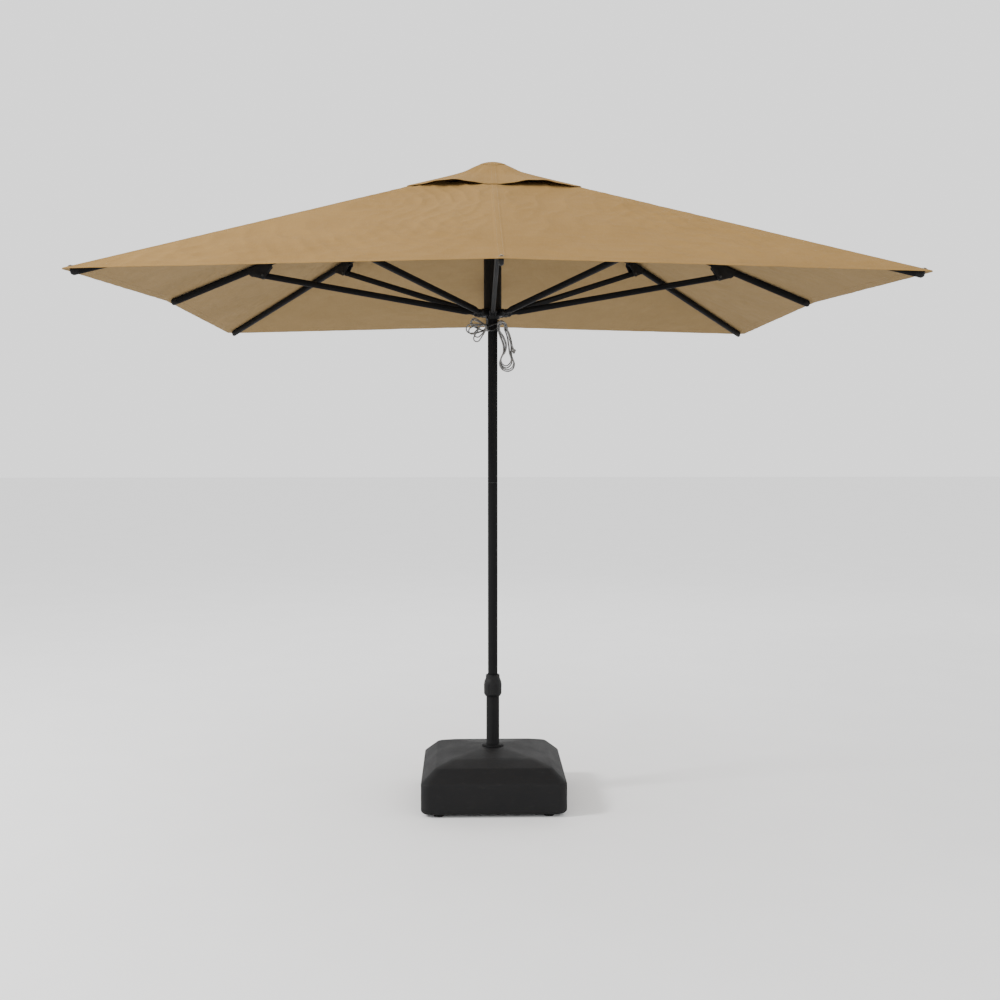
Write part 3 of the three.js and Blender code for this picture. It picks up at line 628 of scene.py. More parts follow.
def bow():
    """Six loops laid one on another, clockwise out from and back round the same small knot."""
    points = []
    at = math.radians(270)
    y = -0.0262
    for degrees, long, bend in BOW_LOOPS:
        ahead = math.radians(degrees)
        leave = ahead + math.pi / 2
        while leave > at:
            leave -= 2 * math.pi
        sweep = at - leave
        count = max(1, round(sweep / 0.7))
        for k in range(count + 1):
            points.append(bow_point(at - sweep * k / count, BOW_BEND, BOW_CENTRE, y))
        y -= BOW_STEP / 2
        reach = long - bend
        tip = (BOW_CENTRE[0] + reach * math.cos(ahead), BOW_CENTRE[1] + reach * math.sin(ahead))
        for k in range(6):
            points.append(bow_point(ahead + math.pi / 2 - math.pi * k / 5, bend, tip, y))
        y -= BOW_STEP / 2
        at = leave - math.pi
        points.append(bow_point(at, BOW_BEND, BOW_CENTRE, y))
    points.append(bow_point(at - 0.8, BOW_BEND, BOW_CENTRE, y))
    return points


def hank_turn(index, y):
    """One turn of the hank: over its top, down its outer side, round the open foot and up its inner side."""
    outer = (0.0, -0.0078, 0.0040, -0.0095)[index]
    inner = (0.0, 0.0060, -0.0040, 0.0090)[index]
    reach = (0.0030, -0.0070, 0.0000, -0.0100)[index]
    foot = (0.0, 0.0130, 0.0060, 0.0200)[index]
    y1 = y - 0.0054
    mid = (y + y1) / 2
    top = (0.0325, 1.8490 + outer * 0.25)
    arc = (60, 15) if index == 0 else (170, 130, 90, 50, 15)
    over = [bow_point(math.radians(degrees), HANK_FOLD, top, y) for degrees in arc]
    return over + [
        (0.0490 + outer * 0.5, y, 1.8350 + outer * 0.4),
        (0.0600 + outer * 0.8, y, 1.8120 + outer * 0.3),
        (0.0665 + outer, y, 1.7870),
        (0.0705 + outer, y, 1.7600),
        (0.0690 + outer * 0.6, y, 1.7400),
        (0.0750 + reach * 0.6, y, 1.7180 + foot * 0.2),
        (0.0800 + reach, mid, 1.6980 + foot * 0.6),
        (0.0740 + reach, mid, 1.6790 + foot),
        (0.0550 + reach * 0.4, mid, 1.6695 + foot),
        (0.0360, mid, 1.6780 + foot),
        (0.0270 - reach * 0.4, mid, 1.6990 + foot * 0.6),
        (0.0330 + inner * 0.2, y1, 1.7220 + foot * 0.2),
        (0.0420 + inner * 0.5, y1, 1.7420),
        (0.0430 + inner, y1, 1.7700),
        (0.0320 + inner, y1, 1.8010),
        (0.0215 + inner * 0.45, y1, 1.8260),
    ]


BACK_ROUND = [
    (-0.0440, -0.0450, 1.8510),
    (-0.0430, -0.0310, 1.8560),
    (-0.0400, -0.0130, 1.8560),
    (-0.0350, 0.0060, 1.8540),
    (-0.0250, 0.0240, 1.8520),
    (-0.0050, 0.0350, 1.8520),
    (0.0170, 0.0330, 1.8530),
    (0.0330, 0.0200, 1.8540),
    (0.0400, 0.0030, 1.8540),
    (0.0400, -0.0110, 1.8530),
]
ROPE_END = [
    (0.0273, -0.0490, 1.8480),
    (0.0330, -0.0495, 1.8580),
    (0.0450, -0.0495, 1.8570),
    (0.0530, -0.0495, 1.8420),
    (0.0590, -0.0490, 1.8130),
    (0.0650, -0.0485, 1.7850),
    (0.0740, -0.0475, 1.7660),
    (0.0800, -0.0470, 1.7520),
]
TIGHTEST_BEND = 0.0114
CLEAR_OF_POLE = 0.0240


def tail_route():
    """The free rope's whole route: round the pole, the bow, back behind the pole and down into the hank."""
    route = round_the_pole() + second_turn() + bow() + BACK_ROUND
    depth = HANK_DEPTH
    for index in range(HANK_TURNS):
        route += hank_turn(index, depth)
        depth -= HANK_STEP
    return eased_bends(respaced(smooth_line(route + ROPE_END, 0.0015), TAIL_STEP)[0], TAIL_STEP)


def eased_bends(line, step):
    """Lets a line relax wherever it bends more tightly than a limp rope does, but not into the pole."""
    reach = 4
    for _ in range(400):
        before, here, after = line[: -2 * reach], line[reach:-reach], line[2 * reach :]
        ab, bc, ac = (np.linalg.norm(v, axis=1) for v in (here - before, after - here, after - before))
        area = np.linalg.norm(np.cross(here - before, after - before), axis=1) / 2
        bend = ab * bc * ac / (4 * np.maximum(area, 1e-12))
        tight = np.zeros(len(line))
        tight[reach:-reach] = bend < TIGHTEST_BEND
        if not tight.any():
            break
        spread = np.convolve(tight, np.ones(2 * reach + 1), "same").clip(0, 1)
        spread[:reach] = spread[-2:] = 0
        calm = line.copy()
        calm[2:-2] = (line[:-4] + 2 * line[1:-3] + 2 * line[3:-1] + line[4:]) / 6
        line = line + 0.6 * spread[:, None] * (calm - line)
        away = np.hypot(line[:, 0], line[:, 1])
        push = np.where(away < CLEAR_OF_POLE, CLEAR_OF_POLE / np.maximum(away, 1e-9), 1.0)
        line[:, 0] *= push
        line[:, 1] *= push
    return respaced(line, step)[0]


def make_knot(name, centre, radius, material):
    """An overhand knot as a short fat trefoil of cord."""
    count = 90
    points = []
    for k in range(count + 1):
        t = 2 * math.pi * k / count
        points.append(
            (
                centre[0] + radius * (math.sin(t) + 2 * math.sin(2 * t)) * 0.34,
                centre[1] - radius * math.sin(3 * t) * 0.42,
                centre[2] + radius * (math.cos(t) - 2 * math.cos(2 * t)) * 0.42,
            )
        )
    return twisted_tube(name, np.array(points[:-1]), ROPE_RADIUS, material)


def make_cords():
    line, length = respaced(tail_route(), TAIL_STEP)
    tail = twisted_tube("free_rope", line, ROPE_RADIUS, ROPE)
    settle(tail, "runner", "rope", "rope_tail", "rope_hank", "rope_bow")
    x, y, z = line[-1]
    knot = make_knot("free_rope_knot", (x, y, z - 0.006), 0.0062, ROPE)
    settle(knot, "runner", "rope")

    beside_pole = (2.0, 2.12, 2.24, 2.34)
    run = [at_azimuth(ROPE_FALL, ROPE_AZIMUTH + math.pi, z) for z in (RUNNER_Z - 0.006, *beside_pole)]
    for step in range(13):
        angle = math.pi - math.pi * step / 12
        out = ROPE_FALL * math.cos(angle)
        run.append(at_azimuth(out, ROPE_AZIMUTH, SHEAVE_Z + ROPE_FALL * math.sin(angle)))
    run += [at_azimuth(ROPE_FALL, ROPE_AZIMUTH, z) for z in (*reversed(beside_pole), RUNNER_LOW_Z + 0.001)]
    line, length = respaced(smooth_line(run, WORKING_STEP), WORKING_STEP)
    working = twisted_tube("working_rope", line, WORKING_RADIUS, ROPE)
    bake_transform(working)
    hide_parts("lift_rope")


make_cords()


# ---------- canopy and vent cap ----------
# half the canopy's side, from the CAD's box, then the heights and softness of the cloth
HALF = cad_box[1][0]
APEX_Z = 2.453
EDGE_MID_Z = 1.9385
CORNER_Z = 1.906
SAG = 0.007
VENT_HALF = 0.180
CAP_HALF = 0.315
CAP_APEX_Z = 2.468
CAP_LIFT = 0.004
CAP_ARCH = 0.020
CAP_SKIRT_Z = 2.4555
CAP_ROUND = 0.030
CAP_DOME = 0.0115
CAP_DOME_R = 0.142
CAP_DOME_SOFT = 0.0012
CAP_INNER = 0.050
PATCH_R = 0.066
CLOTH = 0.0008
# each long swell of the cloth: its direction in radians, length, phase and share
SWELLS = [
    (0.35, 0.23, 0.4, 1.0),
    (1.15, 0.31, 1.9, 0.8),
    (2.05, 0.27, 3.1, 0.9),
    (2.75, 0.19, 5.0, 0.7),
    (0.85, 0.13, 2.2, 0.5),
    (1.75, 0.15, 0.9, 0.5),
]
HEM = 0.030
CAP_HEM = 0.020
CORNER_ROUND = 0.024
SEAM_HALF = 0.011
RIDGE_SOFT = 0.006
AXIS_SOFT = 0.002
SEAM_STEP = 0.0016
SEAM_STITCH = 0.0075
HEM_STITCH = 0.0045
# how much of its width a panel keeps when the umbrella is closed
KEEP_MID = 0.18
KEEP_CORNER = 0.26
CAP_KEEP_MID = 0.34
CAP_KEEP_CORNER = 0.45
STITCH_PITCH = 0.008
STITCH_LONG = 0.0052
THREAD_LIFT = 0.0002


def soft_abs(v, soft):
    return np.sqrt(v * v + soft * soft) - soft


def far_and_near(x, y):
    """The larger and the smaller distance from the two axes, swapping softly where they are equal."""
    ax, ay = soft_abs(x, AXIS_SOFT), soft_abs(y, AXIS_SOFT)
    apart = np.sqrt((ax - ay) ** 2 + RIDGE_SOFT**2)
    return (ax + ay + apart) / 2, (ax + ay - apart) / 2


def creases(x, y):
    """Short soft folds in many directions, in scattered patches."""
    total = np.zeros_like(x)
    for k in range(9):
        angle = 0.4 + 0.37 * k * (1 if k % 2 else -1)
        u = x * math.cos(angle) + y * math.sin(angle)
        v = -x * math.sin(angle) + y * math.cos(angle)
        bend = 0.9 * np.sin(v / (0.09 + 0.011 * k) + 1.7 * k) + 0.6 * np.sin(v / 0.043 + k)
        across = np.sin(u / (0.21 + 0.02 * k) + 2.1 * k)
        along = np.sin(v / (0.17 + 0.03 * k) + 0.9 * k)
        total += np.clip(across * along, 0, 1) * (1 - np.abs(np.sin(u / (0.017 + 0.0021 * k) + bend))) ** 2
    return 0.0034 * total


def wrinkles(x, y):
    """Soft swells, a light ripple along the hem, puckers beside the seams and scattered creases."""
    far = np.maximum(np.abs(x), np.abs(y))
    near = np.minimum(np.abs(x), np.abs(y))
    total = np.zeros_like(x)
    for k, (angle, length, phase, size) in enumerate(SWELLS):
        u = x * math.cos(angle) + y * math.sin(angle)
        v = -x * math.sin(angle) + y * math.cos(angle)
        drift = 0.5 * np.sin(v / 0.17 + k) + 0.35 * np.sin(v / 0.071 + 2.3 * k)
        total += size * np.sin(2 * math.pi * u / length + phase + drift)
    swell = 0.0010 * total
    near_hem = np.exp(-(HALF - far) / 0.05)
    along_hem = np.where(np.abs(x) > np.abs(y), y, x)
    ripple = 0.0003 * near_hem * np.sin(along_hem / 0.0175) * (0.6 + 0.4 * np.sin(along_hem / 0.11 + 1.0))
    beside = np.exp(-near / 0.045) + np.exp(-(far - near) / 0.06)
    phase = far / 0.0085 + 2.2 * np.sin(far / 0.06) + 3.0 * np.sign(x * y) + 20 * near
    pucker = 0.0020 * beside * np.sin(phase)
    calm = 1 - 0.85 * near_hem
    return swell * calm + ripple + (pucker + creases(x, y)) * calm


def canopy_height(x, y):
    """The canopy's top face: four flat-ish quarters that turn softly over the ribs and sag between them."""
    far, near = far_and_near(x, y)
    out = far / HALF
    along = np.clip(near / np.maximum(far, 1e-6), 0, 1)
    sag = SAG * np.sin(math.pi * along) * np.sin(math.pi * np.minimum(out, 1.0)) ** 0.8
    held = np.minimum(1.0, 9.0 * along) * np.minimum(1.0, 9.0 * (1 - along))
    slope_mid, slope_along = (APEX_Z - EDGE_MID_Z) / HALF, (EDGE_MID_Z - CORNER_Z) / HALF
    return APEX_Z - slope_mid * far - slope_along * near - sag + held * wrinkles(x, y)


def cap_hem(share_along):
    share = CAP_HALF / HALF
    hem_mid = APEX_Z + share * (EDGE_MID_Z - APEX_Z) + CAP_LIFT
    hem_corner = APEX_Z + share * (CORNER_Z - APEX_Z) + CAP_LIFT
    return hem_mid + (hem_corner - hem_mid) * share_along


def cap_height(x, y):
    """The vent cap's top face: a low dome over the hub, a flatter skirt, a hem arched between ribs."""
    far, near = far_and_near(x, y)
    out = far / CAP_HALF
    along = np.clip(near / np.maximum(far, 1e-6), 0, 1)
    fall = np.sqrt(far * far + CAP_ROUND**2) - CAP_ROUND * np.exp(-((far / 0.1) ** 2))
    dome = CAP_DOME * (1 - (np.hypot(x, y) / CAP_DOME_R) ** 2)
    dome = (dome + np.sqrt(dome * dome + CAP_DOME_SOFT**2)) / 2
    arch = CAP_ARCH * np.sin(math.pi * along) ** 2 * out**2.5
    at_mid, at_corner = cap_hem(0.0), cap_hem(1.0)
    skirt = CAP_SKIRT_Z - (CAP_SKIRT_Z - at_mid) * fall / CAP_HALF - (at_mid - at_corner) * out * along
    azimuth, out_of_axis = np.arctan2(y, x), np.hypot(x, y)
    puckers = 0.0012 * np.sin(10 * azimuth + 1.2 * np.sin(3 * azimuth))
    puckers *= np.exp(-(((out_of_axis - 0.12) / 0.05) ** 2))
    folds = 0.0010 * np.sin(math.pi * along) * np.sin(26 * along + 7 * out + 2.0 * np.sign(x * y)) * out
    return skirt + dome + arch + puckers + folds


class Sheet:
    """The measures of one square sheet of cloth, the canopy or the vent cap."""

    def __init__(self, name, node, half, inner, hem, height, keeps, rows, columns):
        self.name, self.node, self.height = name, node, height
        self.half, self.inner, self.hem = half, inner, hem
        self.keep_mid, self.keep_corner = keeps
        self.rows, self.columns = rows, columns

    def across(self, x, corner):
        """Distances from the rib line for one row: a few fixed ones over the seam, then even steps."""
        reach = x * (0.5 / math.sqrt(2) if corner else 0.5)
        fixed = [0.0, 0.003, 0.006, 0.009, SEAM_HALF, SEAM_HALF + SEAM_STEP, 0.017]
        squeeze = min(1.0, 0.6 * reach / fixed[-1])
        fixed = [squeeze * t for t in fixed]
        shares = [((k + 1) / self.columns) ** 1.15 for k in range(self.columns)]
        return fixed + [fixed[-1] + (reach - fixed[-1]) * share for share in shares]

    def stations(self):
        """Distances of the rows from the axis, with close rows at the hem fold and its stitching."""
        edge = self.half - self.hem
        rows = list(np.linspace(self.inner, edge - 0.012, self.rows))
        rows += [edge + step for step in (-0.004, -0.0012, 0.0, 0.003, HEM_STITCH, 0.006)]
        return rows + [self.half - step for step in (0.014, 0.004, 0.0012, 0.0)]

    def relief(self, x, t):
        """How far the top and the underside stand off the plain cloth, at distance t from the rib line."""
        seam = 0.0006 * (1 - np.clip((t - SEAM_HALF) / SEAM_STEP, 0, 1))
        dent = 0.0004 * np.exp(-(((t - SEAM_STITCH) / 0.0012) ** 2))
        edge = self.half - self.hem
        fold = np.clip((x - edge) / 0.0012, 0, 1)
        groove = 0.00045 * np.exp(-(((x - edge - HEM_STITCH) / 0.0011) ** 2))
        rolled = 0.0004 * np.clip((x - self.half + 0.004) / 0.004, 0, 1)
        return seam - dent + 0.0003 * fold - groove - rolled, 0.0007 * fold - rolled


def quarter_turn(points, quarter):
    turn = quarter * math.pi / 2
    c, s = round(math.cos(turn)), round(math.sin(turn))
    x, y, z = points[..., 0], points[..., 1], points[..., 2]
    return np.stack([c * x - s * y, s * x + c * y, z], axis=-1)


def round_off(sheet, xs, ys):
    """Draws a sheet's square corner in to a rounded one."""
    start = sheet.half - CORNER_ROUND
    a, b = xs - start, np.abs(ys) - start
    inside = (a > 0) & (b > 0)
    scale = np.where(inside, np.maximum(a, b) / np.maximum(np.hypot(a, b), 1e-9), 1.0)
    xs[inside] = (start + a * scale)[inside]
    ys[inside] = (np.sign(ys) * (start + b * scale))[inside]


def half_grid(sheet, sign, corner):
    """One side of a rib's cloth, row by row: arrays of x, y and the distance from the rib line."""
    xs, ys, ts = [], [], []
    for x in sheet.stations():
        t = np.array(sheet.across(x, corner))
        y = x - math.sqrt(2) * t if corner else t
        xs.append(np.full(len(t), x))
        ys.append(sign * y)
        ts.append(t)
    xs, ys, ts = np.array(xs), np.array(ys), np.array(ts)
    if corner:
        round_off(sheet, xs, ys)
    return xs, ys, ts


def cloth_solid(xs, ys, ts, sheet, quarter):
    """A closed thin solid over a grid: its points, its faces, and 1 for each face of the underside."""
    top, low = both_faces(sheet, quarter, xs, ys, ts)
    rows, columns = xs.shape
    points = np.concatenate([top.reshape(-1, 3), low.reshape(-1, 3)])
    size = rows * columns
    faces, sides = [], []
    for r in range(rows - 1):
        for c in range(columns - 1):
            a, b = r * columns + c, r * columns + c + 1
            faces.append((a, b, b + columns, a + columns))
            faces.append((size + a + columns, size + b + columns, size + b, size + a))
            sides += [0, 1]
    ring = list(range(columns))
    ring += [r * columns + columns - 1 for r in range(1, rows)]
    ring += [(rows - 1) * columns + c for c in range(columns - 2, -1, -1)]
    ring += [r * columns for r in range(rows - 2, 0, -1)]
    for a, b in zip(ring, ring[1:] + ring[:1]):
        faces.append((b, a, size + a, size + b))
        sides.append(0)
    return points, faces, sides


def stitches(rows):
    """Thread stitches along lines of (points, up normals): short raised beads with a gap between them."""
    points, faces = [], []
    section = [(math.cos(a), math.sin(a)) for a in (0.0, math.pi / 2, math.pi, 3 * math.pi / 2)]
    for line in rows:
        line, length = respaced(np.array(line, float), STITCH_PITCH / 4)
        along = np.linspace(0, length, len(line))
        at = 0.5 * STITCH_PITCH
        while at < length - 0.5 * STITCH_PITCH:
            ends = []
            for offset in (-0.5, -0.3, 0.3, 0.5):
                ends.append([np.interp(at + offset * STITCH_LONG, along, line[:, k]) for k in range(3)])
            a, b, c, d = (np.array(e) for e in ends)
            ahead = (d - a) / np.linalg.norm(d - a)
            side = np.cross(ahead, (0, 0, 1.0))
            side /= np.linalg.norm(side)
            up = np.cross(side, ahead)
            base = len(points)
            points.append(a - up * 0.0003)
            for centre in (b, c):
                for u, v in section:
                    points.append(centre + side * (u * 0.00055) + up * (v * 0.00045 + 0.0001))
            points.append(d - up * 0.0003)
            for k in range(4):
                j = (k + 1) % 4
                faces.append((base, base + 1 + j, base + 1 + k))
                faces.append((base + 1 + k, base + 1 + j, base + 5 + j, base + 5 + k))
                faces.append((base + 5 + k, base + 5 + j, base + 9))
            at += STITCH_PITCH
    return points, faces


def both_faces(sheet, quarter, xs, ys, ts, lift=0.0):
    """Points on the cloth's top and underside, in the quarter's own place, a lift outside each."""
    flat = quarter_turn(np.stack([xs, ys, np.zeros_like(xs)], axis=-1), quarter)
    over, under = sheet.relief(xs, ts)
    z = sheet.height(flat[..., 0], flat[..., 1])
    top = np.stack([flat[..., 0], flat[..., 1], z + over + lift], axis=-1)
    low = np.stack([flat[..., 0], flat[..., 1], z - CLOTH - under - lift], axis=-1)
    return top, low


def stitch_rows(sheet, quarter, sign, corner):
    """The stitching of one half of a rib's share: two rows beside the rib and one along the hem."""
    rows = []
    x = np.linspace(sheet.inner + 0.02, sheet.half - sheet.hem - 0.002, 120)
    t = np.full_like(x, SEAM_STITCH)
    y = sign * (x - math.sqrt(2) * t if corner else t)
    rows.append(both_faces(sheet, quarter, x, y, t, THREAD_LIFT)[0])
    edge = sheet.half - sheet.hem + HEM_STITCH
    t = np.linspace(0.004, edge * (0.5 / math.sqrt(2) if corner else 0.5), 90)
    x = np.full_like(t, edge)
    y = sign * (edge - math.sqrt(2) * t if corner else t)
    rows += both_faces(sheet, quarter, x, y, t, THREAD_LIFT)
    return rows


def fold_with(obj, side):
    """The cloth moves with its rib, on a mesh of its own."""
    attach(obj, "rib_" + side)
    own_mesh(obj)
    return obj


def half_area(sheet):
    """The flat area of the cloth on one side of a rib, from the slope of the quarters."""
    slope = math.hypot((APEX_Z - EDGE_MID_Z) / HALF, (EDGE_MID_Z - CORNER_Z) / HALF)
    if sheet.node != "canopy":
        slope = (CAP_APEX_Z - sheet.height(np.array([sheet.half]), np.array([0.0]))[0]) / sheet.half
    return (sheet.half * sheet.half - sheet.inner * sheet.inner) / 4 * math.hypot(1, slope)


def make_panel(sheet, label, side, quarter, signs, grid):
    """One cloth panel on its rib, with its stitching. A corner rib's panel covers one side of it only."""
    corner = len(signs) == 1
    points, faces, layers = cloth_solid(*grid, sheet, quarter)
    # the underside's faces take the second material, painted darker as shade
    cloth = outward(as_object(label, points, faces, [FABRIC, FABRIC_UNDERSIDE_SHADED], layers, sharp=40.0))
    fold_with(cloth, side)
    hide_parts(sheet.node)
    len(signs) * half_area(sheet)
    rows = [row for sign in signs for row in stitch_rows(sheet, quarter, sign, corner)]
    thread = as_object(label + "_stitching", *stitches(rows), [THREAD], sharp=60.0)
    fold_with(outward(thread), side)


def make_sheet(sheet):
    for quarter in range(4):
        side = SIDES[2 * quarter]
        halves = [half_grid(sheet, sign, False) for sign in (-1, 1)]
        whole = [np.concatenate([a[:, :0:-1], b], axis=1) for a, b in zip(*halves)]
        make_panel(sheet, f"{sheet.name}_{side}", side, quarter, (-1, 1), whole)
        for sign, hand in ((-1, "right"), (1, "left")):
            side = SIDES[(2 * quarter + sign) % 8]
            grid = half_grid(sheet, sign, True)
            make_panel(sheet, f"{sheet.name}_{side}_{hand}_half", side, quarter, (sign,), grid)


def on_cap(radius, angle, lift):
    """A point on the vent cap, raised by a lift."""
    x, y = radius * math.cos(angle), radius * math.sin(angle)
    return (x, y, float(cap_height(np.array([x]), np.array([y]))[0]) + lift)


def make_patch():
    """The round patch sewn over the cap's point, which stays with the pole."""
    rings, count = 14, 96
    around = [2 * math.pi * k / count for k in range(count)]
    points, faces = [], []
    for lift in (0.0016, 0.0008):
        for r in range(1, rings + 1):
            points += [on_cap(PATCH_R * r / rings, angle, lift) for angle in around]
        points.append(on_cap(0.0, 0.0, lift))
    size = rings * count + 1
    for base in (0, size):
        faces += [(base + size - 1, base + k, base + (k + 1) % count) for k in range(count)]
        for r in range(rings - 1):
            faces += band(base + r * count, base + (r + 1) * count, count)
    faces += band((rings - 1) * count, size + (rings - 1) * count, count)
    patch = outward(as_object("cap_patch", points, faces, [FABRIC], sharp=40.0))
    settle(patch, "pole", "canopy_fabric", "vent_cap")
    circle = [on_cap(PATCH_R - 0.005, 2 * math.pi * k / 180, 0.0018) for k in range(181)]
    thread = outward(as_object("cap_patch_stitching", *stitches([circle]), [THREAD], sharp=60.0))
    settle(thread, "pole", "canopy_fabric")


def make_fabric():
    keeps = (KEEP_MID, KEEP_CORNER)
    cap_keeps = (CAP_KEEP_MID, CAP_KEEP_CORNER)
    make_sheet(Sheet("canopy", "canopy", HALF, VENT_HALF, HEM, canopy_height, keeps, 118, 44))
    make_sheet(Sheet("cap", "vent_cap", CAP_HALF, CAP_INNER, CAP_HEM, cap_height, cap_keeps, 34, 18))
    make_patch()


make_fabric()


# ---------- the frame ----------
def make_frame():
    """Eased copies of the CAD's hard pieces, and better materials on those that are out of sight."""
    for node in ("lower_pole", "upper_pole"):
        stands_for(refined(node, FRAME_METAL, 0.0003, 1, 25.0), node, "frame_metal")
    for side in SIDES:
        for node in ("rib_" + side, "strut_" + side):
            stands_for(refined(node, FRAME_METAL, 0.0006, 2), node, "frame_metal")
        for node, limit in (("rib_tip_" + side, 30.0), ("bracket_" + side, 40.0)):
            stands_for(refined(node, BLACK_PLASTIC, 0.0012, 3, limit), node, "black_plastic")
    for node, bevel, limit in (("runner", 0.001, 30.0), ("hub", 0.0008, 30.0), ("hub_cap", 0.0008, 30.0)):
        stands_for(refined(node, BLACK_PLASTIC, bevel, 2, limit), node, "black_plastic")
    for node in ("tube_flange", "socket_tube"):
        stands_for(refined(node, SOCKET_METAL, 0.0006, 2, 25.0), node, "socket_steel")
    stands_for(refined("reducer_bush", BLACK_PLASTIC, 0.0005, 2, 25.0), "reducer_bush", "black_plastic")
    for node, look in (
        ("base_plate", BASE_PLASTIC),
        ("ballast_block", CONCRETE),
        ("pole_joiner", BARE_METAL),
        ("hub_pivot_ring", BARE_STEEL),
        ("sheave_axle", BARE_STEEL),
        ("lift_sheave", SHEAVE_NYLON),
    ):
        carry(node, look)


def joint_place(name):
    joint = next(j for j in frame["record"]["behaviour"]["joints"] if j["name"] == name)
    return Vector(joint["pos_m"])


def button(radius, height, sides=20, ease=0.0006):
    """A small domed head, standing on its own origin."""
    return lathe(rounded([(0, 0), (radius, 0), (radius, height), (0, height)], ease, 3), sides)


BRACKET_FACE = 0.0133
EAR_FACE = 0.0128
EAR_OUT = 0.068


def make_fixings():
    """Pin heads on the brackets and the runner's ears, and a screw with its washer at each rib's end."""
    pins = Bundle()
    head = button(0.0048, 0.0022)
    for index, side in enumerate(SIDES):
        azimuth = index * math.pi / 4
        spin = Matrix.Rotation(azimuth, 4, "Z")
        pivot = joint_place("strut_fold_" + side)
        bracket = Bundle()
        for sign in (-1, 1):
            face_out = Matrix.Rotation(-sign * math.pi / 2, 4, "X")
            out = Matrix.Translation((math.hypot(pivot.x, pivot.y), sign * BRACKET_FACE, pivot.z))
            bracket.add(*head, spin @ out @ face_out)
            pins.add(*head, spin @ Matrix.Translation((EAR_OUT, sign * EAR_FACE, RUNNER_Z)) @ face_out)
        heads = bracket.make("bracket_pin_heads_" + side, PIN_STEEL)
        settle(heads, "rib_" + side, "bare_steel")

        reach, slope = HALF - 0.020, (APEX_Z - EDGE_MID_Z) / HALF
        if index % 2:
            reach, slope = (HALF - 0.022) * math.sqrt(2), (APEX_Z - CORNER_Z) / (HALF * math.sqrt(2))
        x, y = reach * math.cos(azimuth), reach * math.sin(azimuth)
        top = float(canopy_height(np.array([x]), np.array([y]))[0]) + 0.0006
        seat = spin @ Matrix.Translation((reach, 0, top)) @ Matrix.Rotation(math.atan(slope), 4, "Y")
        screw = Bundle()
        washer = rounded([(0, -0.0012), (0.0080, -0.0012), (0.0080, 0.0008), (0, 0.0008)], 0.0005, 3)
        screw.add(*lathe(washer, 28), seat)
        screw.add(*button(0.0046, 0.0022), seat @ Matrix.Translation((0, 0, 0.0007)))
        fitted = screw.make("rib_screw_" + side, SCREW_METAL)
        settle(fitted, "rib_" + side, "bare_metal")
    heads = pins.make("runner_pin_heads", PIN_STEEL)
    settle(heads, "runner", "bare_steel")


make_frame()
make_fixings()


# ---------- base ----------
def square_ring(half, radius, z, corner_steps=12, side_steps=10):
    """A rounded square as points, anticlockwise from the middle of its right side."""
    radius = max(radius, 1e-4)
    straight = half - radius
    points = []
    for corner in range(4):
        c, s = math.cos(corner * math.pi / 2), math.sin(corner * math.pi / 2)
        local = [(half, straight * k / side_steps) for k in range(side_steps)]
        for k in range(corner_steps + 1):
            a = math.pi / 2 * k / corner_steps
            local.append((straight + radius * math.cos(a), straight + radius * math.sin(a)))
        local += [(straight * (1 - k / side_steps), half) for k in range(1, side_steps)]
        points += [(x * c - y * s, x * s + y * c, z) for x, y in local]
    return points


def circle_like(ring, radius, z):
    """A circle whose points lie in the same directions as the points of a ring."""
    return [(radius * x / math.hypot(x, y), radius * y / math.hypot(x, y), z) for x, y, _ in ring]


def eased(stages, radius, steps=6):
    """Rounds the corners of an outline of (half side, corner radius, z) stages."""
    result = [stages[0]]
    for before, here, after, reach in zip(stages, stages[1:], stages[2:], radius):
        before, here, after = (np.array(s, float) for s in (before, here, after))
        back, on = (np.linalg.norm((end - here)[[0, 2]]) for end in (before, after))
        r = min(reach, 0.45 * back, 0.45 * on)
        start = here + (before - here) * r / back
        end = here + (after - here) * r / on
        for k in range(steps + 1):
            t = k / steps
            result.append(tuple((1 - t) ** 2 * start + 2 * t * (1 - t) * here + t * t * end))
    result.append(stages[-1])
    return result


def subdivided(stages, longest):
    result = [stages[0]]
    for a, b in zip(stages, stages[1:]):
        a, b = np.array(a, float), np.array(b, float)
        count = max(1, math.ceil(np.linalg.norm((b - a)[[0, 2]]) / longest))
        result += [tuple(a + (b - a) * k / count) for k in range(1, count + 1)]
    return result


# stages of the base's shell, outside from the bottom up and inside from the top down:
# half the side, the corner radius and the height
BASE_OUTSIDE = [
    (0.2640, 0.027, 0.0120),
    (0.2680, 0.031, 0.0120),
    (0.2750, 0.038, 0.0190),
    (0.2750, 0.038, 0.1240),
    (0.2210, 0.024, 0.1720),
    (0.1550, 0.018, 0.1920),
    (0.0500, 0.012, 0.2050),
]
BASE_EASES = [0.002, 0.006, 0.007, 0.006, 0.012]
BASE_INSIDE = [
    (0.0430, 0.010, 0.1980),
    (0.1480, 0.012, 0.1850),
    (0.2140, 0.018, 0.1650),
    (0.2680, 0.031, 0.1205),
    (0.2640, 0.027, 0.0180),
]
# radius and height of the rings from the shell's middle down into its hole
BASE_HOLE = ((0.034, 0.2053), (0.0262, 0.2050), (0.0258, 0.2046), (0.0258, 0.1980))


def make_base():
    skin = subdivided(eased(BASE_OUTSIDE, BASE_EASES), 0.03)
    rings = [square_ring(*stage) for stage in skin]
    for radius, z in BASE_HOLE:
        rings.append(circle_like(rings[-1], radius, z))
    rings += [square_ring(*stage) for stage in subdivided(BASE_INSIDE, 0.05)]
    count = len(rings[0])
    points = [p for ring in rings for p in ring]
    faces = []
    for r in range(len(rings)):
        faces += band(r * count, ((r + 1) % len(rings)) * count, count)
    shell = outward(as_object("base_housing", points, faces, [BASE_PLASTIC], sharp=55.0))
    stands_for(shell, "base_shell", "base_plastic")


